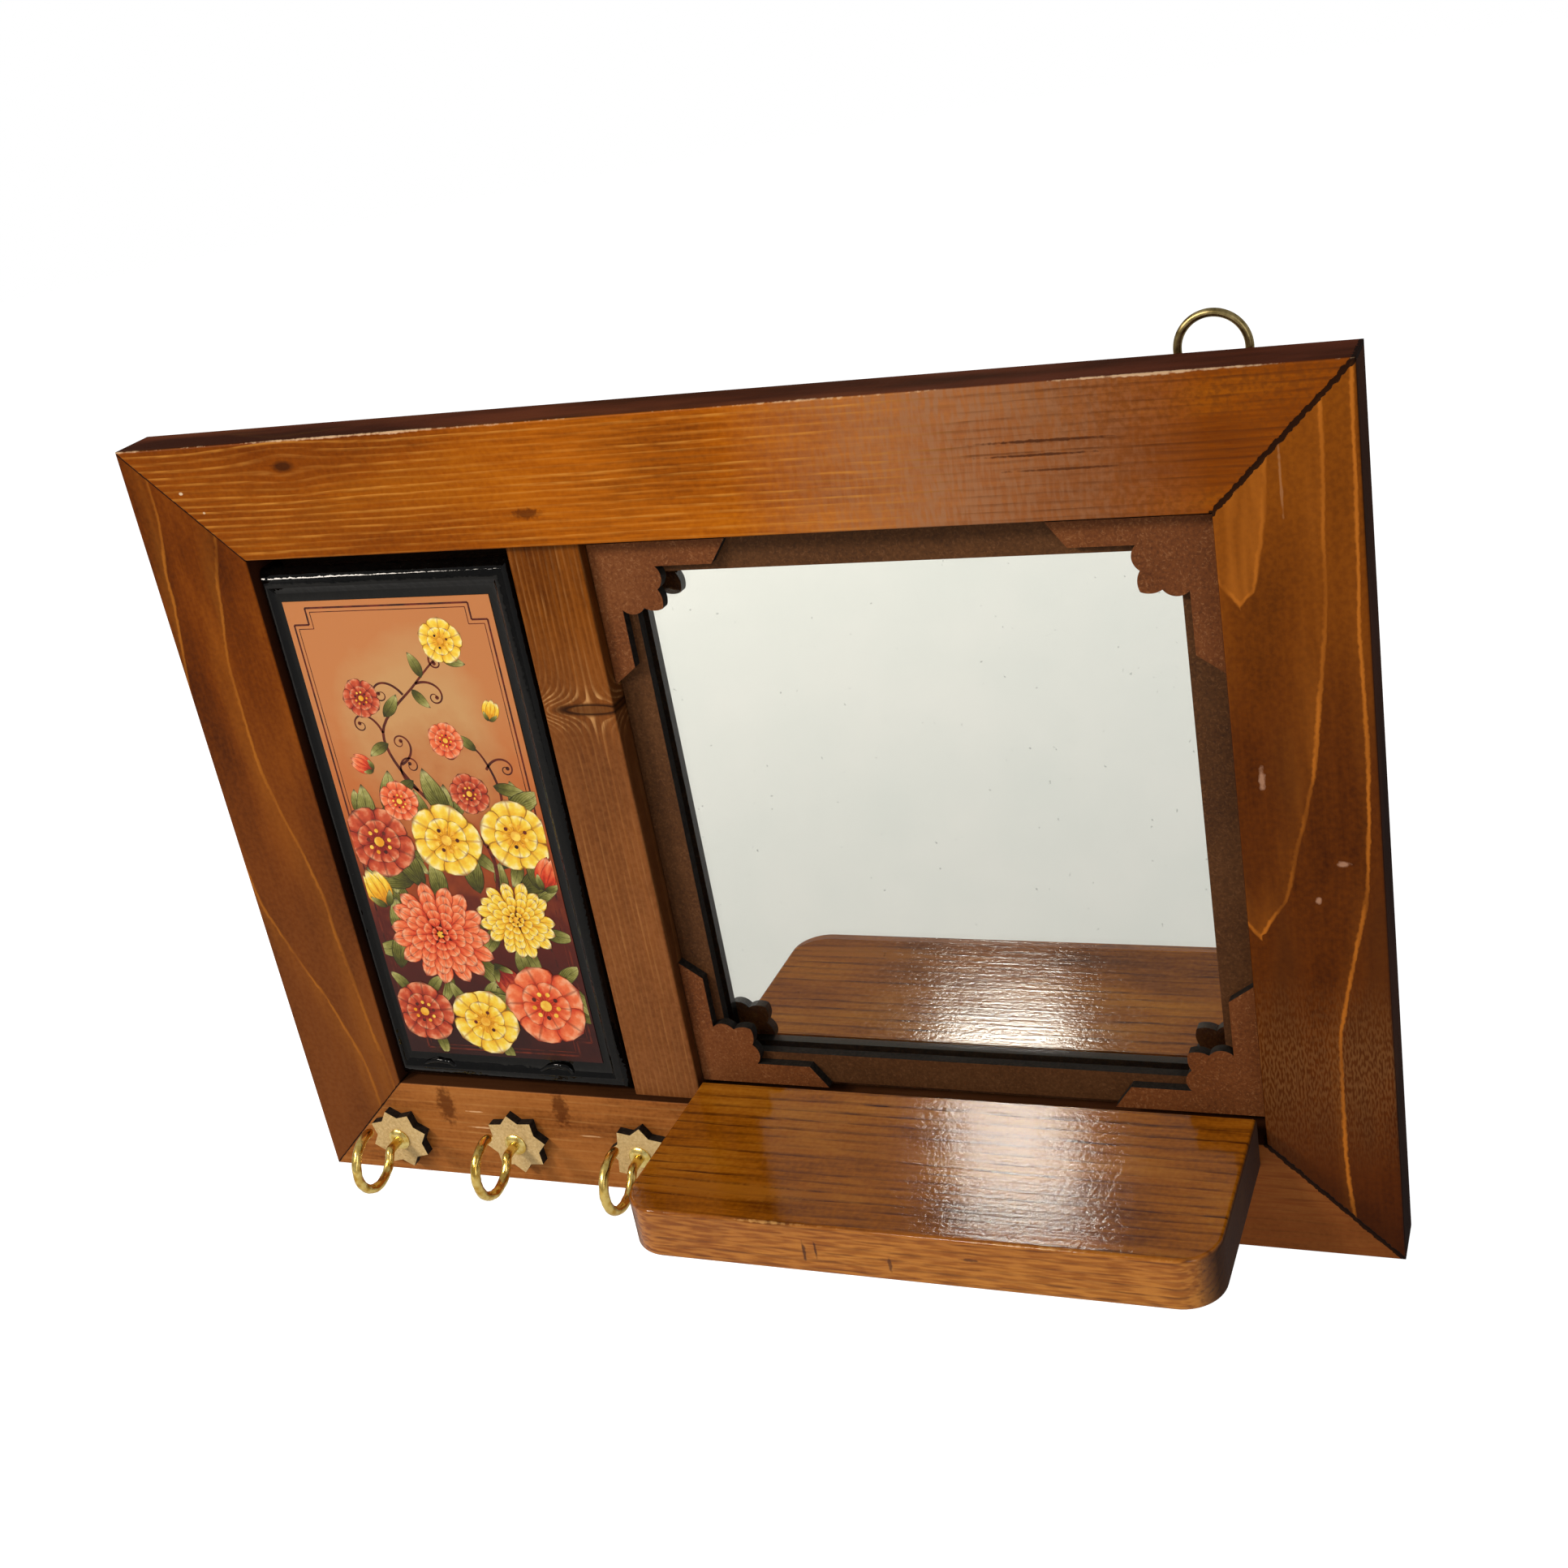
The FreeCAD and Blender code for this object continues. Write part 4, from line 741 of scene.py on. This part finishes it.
def add_hooks():
    line = hook_line()
    for side in ("left", "middle", "right"):
        node = f"key_hook_{side}"
        low, high = span(node)
        collar_low, collar_high = span(f"hook_collar_{side}")
        x = (low.x + high.x) / 2
        z = (collar_low.z + collar_high.z) / 2
        thread = [FRONT_Y + SCREW_DEPTH * (1 - k / SCREW_STEPS) for k in range(SCREW_STEPS)]
        path = [Vector((0, y, z)) for y in thread] + [Vector((0, FRONT_Y - out, z + up)) for out, up in line]
        radii = [SCREW * min(1.0, 0.15 + k / 3) for k in range(SCREW_STEPS)] + [WIRE] * len(line)
        for k in range(1, 4):
            radii[-k] = WIRE * math.sqrt(1 - ((TIP_STEPS - k) / TIP_STEPS) ** 2)
        marks = [(random.uniform(FIRST_MARK, len(path)), random.uniform(0, 2 * math.pi),
                  random.uniform(0.05, 0.13), random.uniform(1.6, 3.2)) for _ in range(HAMMER_MARKS)]

        def cut(k, turn, marks=marks):
            share = 1.0
            for place, angle, depth, length in marks:
                deep = depth * (1 - ((k - place) / length) ** 2)
                if deep > 0:
                    off = abs((turn - angle + math.pi) % (2 * math.pi) - math.pi)
                    if off < 1.2:
                        share = min(share, (1 - deep) / math.cos(off))
            return share

        points, faces = tube(path, radii, cut)
        points = [point + Vector((x, 0, 0)) for point in points]
        hook = piece(f"hammered_hook_{side}", points, faces, hook_brass, sharp=60)
        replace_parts(hook, node)


# The print: a generic flower design of thin colour areas on the sheet. The petals shade from a deep heart to
# a pale rim with a dark outline, as in a painted design printed on gloss paper.

def printed_blade(name, tones, rim, ribbed):
    def paint(tree):
        parts = add(tree, "SeparateXYZ", {0: add(tree, "TexCoord", output="UV")}).node.outputs
        point = millimetres(tree)
        brush = add(tree, "TexNoise", {"Vector": point, "Scale": 1 / 1.6, "Detail": 3.0})
        side = add(tree, "Math MULTIPLY_ADD", (parts["X"], 2.0, -1.0))
        side = add(tree, "Math ABSOLUTE", {0: side})
        shade = add(tree, "Math MULTIPLY_ADD", (brush, 0.5, -0.25))
        shade = add(tree, "Math ADD", (shade, parts["Y"]))
        slant = add(tree, "Math MULTIPLY_ADD", (side, -0.9, parts["Y"]))
        ribs = add(tree, "Math MULTIPLY", (slant, 2 * math.pi * ribbed))
        ribs = add(tree, "Math SINE", {0: ribs})
        shade = add(tree, "Math MULTIPLY_ADD", (ribs, 0.09, shade))
        tone = add(tree, "ValToRGB", {0: shade}, stops=[(0.0, tones[0]), (0.4, tones[1]), (0.75, tones[2]),
                                                        (1.0, tones[3])])
        vein = add(tree, "ValToRGB", {0: side}, stops=[(0.02, 0.55), (0.1, 0.0)])
        tone = add(tree, "Mix", {0: vein, 6: tone, 7: colour(tones[0])}, **BLEND)
        outer = add(tree, "Math MAXIMUM", (side, parts["Y"]))
        outline = add(tree, "ValToRGB", {0: outer}, stops=[(0.88, 0.0), (0.97, 0.9)])
        tone = add(tree, "Mix", {0: outline, 6: tone, 7: colour(rim)}, **BLEND)
        return {"Base Color": tone, "Roughness": 0.2, "Specular IOR Level": 0.25}

    return material(name, paint)


def printed_line(name, dark, pale):
    def paint(tree):
        ink = add(tree, "TexNoise", {"Vector": millimetres(tree), "Scale": 1 / 4, "Detail": 3.0})
        tone = add(tree, "ValToRGB", {0: ink}, stops=[(0.35, dark), (0.65, pale)])
        return {"Base Color": tone, "Roughness": 0.2, "Specular IOR Level": 0.25}

    return material(name, paint)


CORAL, YELLOW, LEAF, STEM, POLLEN, ROSE = range(6)
INKS = [
    printed_blade("printed_paper_coral_ink", ("#7a1208", "#d63d1c", "#f07a48", "#f8b48a"), "#8c1a0a", 1.5),
    printed_blade("printed_paper_yellow_ink", ("#b4600c", "#eda91c", "#fad848", "#fdf0b0"), "#8a4a0c", 1.5),
    printed_blade("printed_paper_leaf_ink", ("#2e2a0c", "#5c5a1c", "#94914a", "#c4bc7c"), "#1e1606", 5.0),
    printed_line("printed_paper_stem_ink", "#30100a", "#6a2412"),
    printed_line("printed_paper_pollen_ink", "#e89a1c", "#ffdc5c"),
    printed_blade("printed_paper_rose_ink", ("#540c0c", "#9a2214", "#cc5430", "#e89a70"), "#40100a", 1.5),
]
INK_STEP = 0.012
SHEET_RIM = 0.8
BLADE_ROWS = 10
BLADE_COLUMNS = 5
DOT_SIDES = 10
VINE_STEPS = 8
CURL_STEPS = 16
PETALS = 5


def add_flowers():
    low, high = span("print_sheet")
    points, faces, corners, inks = [], [], [], []

    def lay(x, z, level):
        x = min(max(low.x + x, low.x + SHEET_RIM), high.x - SHEET_RIM)
        z = min(max(low.z + z, low.z + SHEET_RIM), high.z - SHEET_RIM)
        points.append((x, low.y - INK_STEP * (level + 1), z))

    def grid(start, rows, columns, ink):
        for r in range(rows - 1):
            for c in range(columns - 1):
                a = start + r * columns + c
                faces.append((a, a + 1, a + columns + 1, a + columns))
                for row, column in ((r, c), (r, c + 1), (r + 1, c + 1), (r + 1, c)):
                    corners.append((column / (columns - 1), row / (rows - 1)))
                inks.append(ink)

    def away(x, z, heading, far):
        """The point at a distance from (x, z) in a direction in degrees."""
        turn = math.radians(heading)
        return x + far * math.cos(turn), z + far * math.sin(turn)

    def blade(x, z, heading, length, width, ink, level, bend, full):
        """A petal or a leaf that grows from a point in a direction in degrees."""
        start = len(points)
        step = length / (BLADE_ROWS - 1)
        for row in range(BLADE_ROWS):
            share = row / (BLADE_ROWS - 1)
            turn = math.radians(heading + bend * share)
            half = width / 2 * max(math.sin(math.pi * share ** full), 0.0) ** 0.8
            for column in range(BLADE_COLUMNS):
                aside = half * (1 - 2 * column / (BLADE_COLUMNS - 1))
                lay(x - aside * math.sin(turn), z + aside * math.cos(turn), level)
            x, z = x + step * math.cos(turn), z + step * math.sin(turn)
        grid(start, BLADE_ROWS, BLADE_COLUMNS, ink)

    def dot(x, z, radius, ink, level):
        start = len(points)
        for k in range(DOT_SIDES):
            lay(*away(x, z, 360 * k / DOT_SIDES, radius), level)
        faces.append(tuple(range(start, start + DOT_SIDES)))
        corners.extend((0.5, 0.5) for _ in range(DOT_SIDES))
        inks.append(ink)

    def vine(line, width, level):
        """A stem through points, thinner towards its end."""
        start, fine = len(points), []
        for k in range(len(line) - 1):
            p0, p1, p2, p3 = (Vector(line[min(max(k + d, 0), len(line) - 1)]) for d in (-1, 0, 1, 2))
            for step in range(VINE_STEPS):
                t = step / VINE_STEPS
                fine.append(0.5 * (2 * p1 + (p2 - p0) * t + (2 * p0 - 5 * p1 + 4 * p2 - p3) * t * t
                                   + (3 * p1 - p0 - 3 * p2 + p3) * t ** 3))
        fine.append(Vector(line[-1]))
        for k, place in enumerate(fine):
            ahead = (fine[min(k + 1, len(fine) - 1)] - fine[max(k - 1, 0)]).normalized()
            half = width / 2 * (1 - 0.75 * k / len(fine))
            lay(place.x - half * ahead.y, place.y + half * ahead.x, level)
            lay(place.x + half * ahead.y, place.y - half * ahead.x, level)
        grid(start, len(fine), 2, STEM)

    def tendril(x, z, heading, radius, way, level):
        """A stem end that winds up into a curl."""
        line, turn = [(x, z)], math.radians(heading)
        step = radius * 0.5
        for k in range(CURL_STEPS):
            turn += way * (0.16 + 0.045 * k)
            x, z = x + step * math.cos(turn), z + step * math.sin(turn)
            step *= 0.94
            line.append((x, z))
        vine(line, 1.0, level)
        dot(x, z, 0.75, STEM, level)

    def dahlia(x, z, radius, ink, level, rings=6):
        for ring in range(rings):
            share = 1 - ring / rings
            count = 15 - 2 * ring if ring < rings - 1 else 6
            for k in range(count):
                heading = 360 * (k + 0.5 * (ring % 2)) / count + random.uniform(-5, 5)
                start = away(x, z, heading, radius * share * 0.3)
                blade(*start, heading, radius * share * random.uniform(0.66, 0.74),
                      radius * share * 2.6 * math.pi / count * 0.62, ink, level + 2 * ring + 1.8 * k / count,
                      random.uniform(-14, 14), 1.7)
        for k in range(7):
            dot(x + 0.9 * math.cos(k * 0.9) * (k > 0), z + 0.9 * math.sin(k * 0.9) * (k > 0), 0.5, POLLEN,
                level + 2 * rings + 0.1 * k)

    def blossom(x, z, radius, ink, level, turn):
        for layer, scale in ((0, 1.0), (3, 0.62)):
            for k in range(PETALS):
                heading = turn + 360 * (k + 0.5 * (layer > 0)) / PETALS
                blade(x, z, heading, radius * scale, radius * scale * 1.05, ink, level + layer + 0.5 * k,
                      random.uniform(-10, 10), 1.9)
        for k in range(9):
            place = away(x, z, 40 * k + turn, radius * 0.3)
            dot(*place, radius * 0.055, STEM if k % 3 == 0 else POLLEN, level + 6)
        dot(x, z, radius * 0.14, POLLEN, level + 6)

    def bud(x, z, heading, size, ink, level):
        for side in (-1, 1):
            blade(x, z, heading + 24 * side, size, size * 0.5, ink, level + (side > 0), -26 * side, 0.9)
        blade(x, z, heading, size * 1.05, size * 0.46, ink, level + 2, 0, 0.9)
        for side in (-1, 1):
            blade(x, z, heading + 55 * side, size * 0.5, size * 0.2, LEAF, level + 3.2 + 0.3 * side,
                  -35 * side, 0.8)

    def leaf(x, z, heading, length, level, bend=20):
        blade(x, z, heading, length, length * 0.42, LEAF, level, bend, 0.85)

    # thin frame lines with stepped corners
    wide, tall = high.x - low.x, high.z - low.z
    step = 6.0
    for inset, line in ((2.4, 0.7), (3.9, 0.3)):
        walk = [(inset + step, inset), (wide - inset - step, inset), (wide - inset - step, inset + step),
                (wide - inset, inset + step), (wide - inset, tall - inset - step),
                (wide - inset - step, tall - inset - step), (wide - inset - step, tall - inset),
                (inset + step, tall - inset), (inset + step, tall - inset - step),
                (inset, tall - inset - step), (inset, inset + step), (inset + step, inset + step),
                (inset + step, inset)]
        for (x0, z0), (x1, z1) in zip(walk, walk[1:]):
            start = len(points)
            aside = (line / 2 if z0 == z1 else 0.0, line / 2 if x0 == x1 else 0.0)
            for x, z in ((x0, z0), (x1, z1)):
                lay(x - aside[1], z - aside[0], 0)
                lay(x + aside[1], z + aside[0], 0)
            grid(start, 2, 2, STEM)

    # a branch that climbs in an S, with curls in the pale upper half
    vine([(14, 8), (24, 34), (50, 58), (56, 86), (34, 108), (26, 130), (44, 148), (58, 160)], 2.2, 1)
    vine([(56, 86), (66, 104), (62, 122), (52, 128)], 1.4, 1)
    vine([(50, 58), (68, 52), (72, 38)], 1.4, 1)
    curls = ((34, 108, 150, 5.2, -1), (26, 130, 100, 4.6, 1), (44, 148, 20, 4.4, -1), (38, 144, 120, 4.8, 1),
             (30, 118, 20, 4.6, 1), (63, 116, 60, 4.2, -1), (58, 160, 170, 3.4, 1), (52, 128, 200, 3.4, 1))
    for curl in curls:
        tendril(*curl, 1)
    small_leaves = ((28, 136, 40, 11), (33, 112, 210, 12), (47, 150, 100, 10), (56, 158, -30, 10),
                    (64, 110, -20, 12), (27, 126, 200, 10), (42, 146, -60, 9), (61, 123, 130, 9))
    for x, z, heading, length in small_leaves:
        leaf(x, z, heading, length, 2 + x / 100)
    blossom(58, 163, 8.5, YELLOW, 3, 12)
    blossom(21, 143, 7.5, ROSE, 3, 40)
    blossom(50, 127, 7, CORAL, 3, 70)
    bud(18, 116, 150, 9, CORAL, 3)
    bud(69, 134, 70, 8, YELLOW, 3)

    # the full lower half, with leaves that spread from behind the large flowers
    level = 0.15
    fans = ((27, 51, 19, (10, 75, 130, 200, 262, 320)), (60, 58, 14, (-25, 40, 100, 215, 275)),
            (40, 89, 13, (60, 120, 205, 330)), (63, 23, 15, (50, 110, 165, 345)),
            (36, 15, 12, (70, 130, 300)), (11, 18, 12, (60, 115, 290)), (68, 91, 13, (20, 75, 260)),
            (12, 88, 13, (60, 110, 280, 330)))
    for x, z, radius, turns in fans:
        for turn in turns:
            place = away(x, z, turn, 0.7 * radius)
            leaf(*place, turn, 0.95 * radius, level, 30 if turn % 2 else -30)
            level += 0.05
    full_leaves = ((26, 70, 120, 22), (22, 72, 175, 20), (38, 92, 60, 20), (64, 70, 20, 21),
                   (60, 78, 60, 20), (12, 46, 100, 20), (34, 26, -20, 21), (28, 20, -70, 18),
                   (68, 32, -30, 20), (62, 26, -100, 18), (44, 98, 120, 20), (66, 98, 40, 19),
                   (8, 92, 70, 19), (14, 22, 200, 17), (48, 16, 200, 18), (72, 70, 90, 18),
                   (48, 68, 100, 19), (46, 40, -60, 20), (18, 100, 60, 17), (6, 36, 80, 18))
    for x, z, heading, length in full_leaves:
        leaf(x, z, heading, length, 2.2 + 2 * x / 80 + z / 100, random.choice((-25, 25)))
    blossom(68, 91, 14, YELLOW, 6, 20)
    blossom(12, 88, 14.5, ROSE, 6, 50)
    dahlia(27, 51, 21, CORAL, 8)
    dahlia(60, 58, 15.5, YELLOW, 14, rings=5)
    blossom(40, 89, 14.5, YELLOW, 12, 0)
    blossom(63, 23, 16.5, CORAL, 12, 30)
    blossom(36, 15, 14, YELLOW, 13, 65)
    blossom(11, 18, 13, ROSE, 12, 10)
    bud(8, 62, 110, 15, YELLOW, 9)
    bud(74, 70, 60, 14, CORAL, 9)
    bud(47, 38, -60, 13, ROSE, 9)
    blossom(25, 104, 8, CORAL, 7, 15)
    blossom(54, 107, 8, ROSE, 7, 35)

    made = piece("print_flowers", points, faces, INKS)
    for polygon, ink in zip(made.data.polygons, inks):
        polygon.material_index = ink
    sheet = made.data.uv_layers.new(name="across_along")
    for place, corner in zip(sheet.data, corners):
        place.uv = corner


add_pane()
add_panel()
add_runs()
add_hooks()
add_flowers()


# Camera, floor and studio light

CAMERA_PLACE = (267.2, -545.2, 279.1)
CAMERA_TURN = (65.655, 9.776, 20.954)
CAMERA_LENS = 46.3
SENSOR_WIDTH = 36
FLOOR_LEVEL = -250
FLOOR_RADIUS = 4000
FLOOR_SIDES = 96
FLOOR_SEEN, FLOOR_STRAIGHT = 0.1, 0.75
SKY_LEVEL, SKY_SEEN, SKY_STRAIGHT = 0.27, 0.15, 0.58
# Each lamp has its place, the point that it faces, its size, its watts and its tint.
LAMPS = {
    "key_lamp": ((-1150, -1250, 1080), (30, -10, -20), (480, 240), 21.5, "#fff4e6"),
    "side_lamp": ((1100, -1300, 500), (0, 0, 0), (700, 900), 4, "#f4f6ff"),
    "shelf_lamp": ((-445, -1431, 1000), (85, -10, -94), (150, 250), 5.6, "#fff8f0"),
}


def add_camera():
    data = bpy.data.cameras.new("photo_camera")
    data.sensor_width = SENSOR_WIDTH
    data.lens = CAMERA_LENS
    data.clip_start = 0.01
    camera = bpy.data.objects.new("photo_camera", data)
    camera.location = Vector(CAMERA_PLACE) * MM
    camera.rotation_euler = [math.radians(angle) for angle in CAMERA_TURN]
    bpy.context.scene.collection.objects.link(camera)
    bpy.context.scene.camera = camera


def add_lamp(name, place, aim, size, watts, tint):
    """A soft rectangular lamp that faces a point."""
    data = bpy.data.lights.new(name, "AREA")
    data.shape = "RECTANGLE"
    data.size, data.size_y = (side * MM for side in size)
    data.energy = watts
    data.color = colour(tint)[:3]
    lamp = bpy.data.objects.new(name, data)
    lamp.location = Vector(place) * MM
    lamp.rotation_euler = (Vector(aim) - Vector(place)).to_track_quat("-Z", "Y").to_euler()
    bpy.context.scene.collection.objects.link(lamp)


def eye_rays(tree):
    """Which rays come from the eye, by mirrors and glass too, and which come straight from it."""
    straight = add(tree, "LightPath", output="Is Camera Ray")
    rays = straight.node.outputs
    seen = add(tree, "Math MAXIMUM", (straight, rays["Is Glossy Ray"]))
    return add(tree, "Math MAXIMUM", (seen, rays["Is Transmission Ray"])), straight


def add_floor():
    """A pale round floor that takes the shadow and reads as white."""
    turns = [2 * math.pi * k / FLOOR_SIDES for k in range(FLOOR_SIDES)]
    rim = [Vector((math.cos(a), math.sin(a), 0)) * FLOOR_RADIUS * MM for a in turns]
    mesh = bpy.data.meshes.new("floor")
    mesh.from_pydata(rim, [], [range(FLOOR_SIDES)])
    floor = bpy.data.objects.new("floor", mesh)
    floor.location.z = FLOOR_LEVEL * MM
    bpy.context.scene.collection.objects.link(floor)
    paper = bpy.data.materials.new("floor_paper")
    paper.use_nodes = True
    tree = paper.node_tree
    tree.nodes.clear()
    seen, straight = eye_rays(tree)
    glow = add(tree, "Math MULTIPLY", (seen, FLOOR_SEEN))
    glow = add(tree, "Math MULTIPLY_ADD", (straight, FLOOR_STRAIGHT, glow))
    matt = add(tree, "BsdfDiffuse", {"Color": colour("#e4e5e5")})
    light = add(tree, "Emission", {"Color": colour("#ffffff"), "Strength": glow})
    both = add(tree, "AddShader", (matt, light))
    add(tree, "OutputMaterial", {"Surface": both})
    mesh.materials.append(paper)


def add_world():
    world = bpy.data.worlds.new("studio")
    world.use_nodes = True
    tree = world.node_tree
    tree.nodes.clear()
    seen, straight = eye_rays(tree)
    level = add(tree, "Math MULTIPLY_ADD", (seen, SKY_SEEN, SKY_LEVEL))
    level = add(tree, "Math MULTIPLY_ADD", (straight, SKY_STRAIGHT, level))
    sky = add(tree, "Background", {"Color": colour("#ffffff"), "Strength": level})
    add(tree, "OutputWorld", {"Surface": sky})
    bpy.context.scene.world = world


add_camera()
for lamp_name, settings in LAMPS.items():
    add_lamp(lamp_name, *settings)
add_floor()
add_world()
bpy.context.scene.view_settings.view_transform = "Standard"
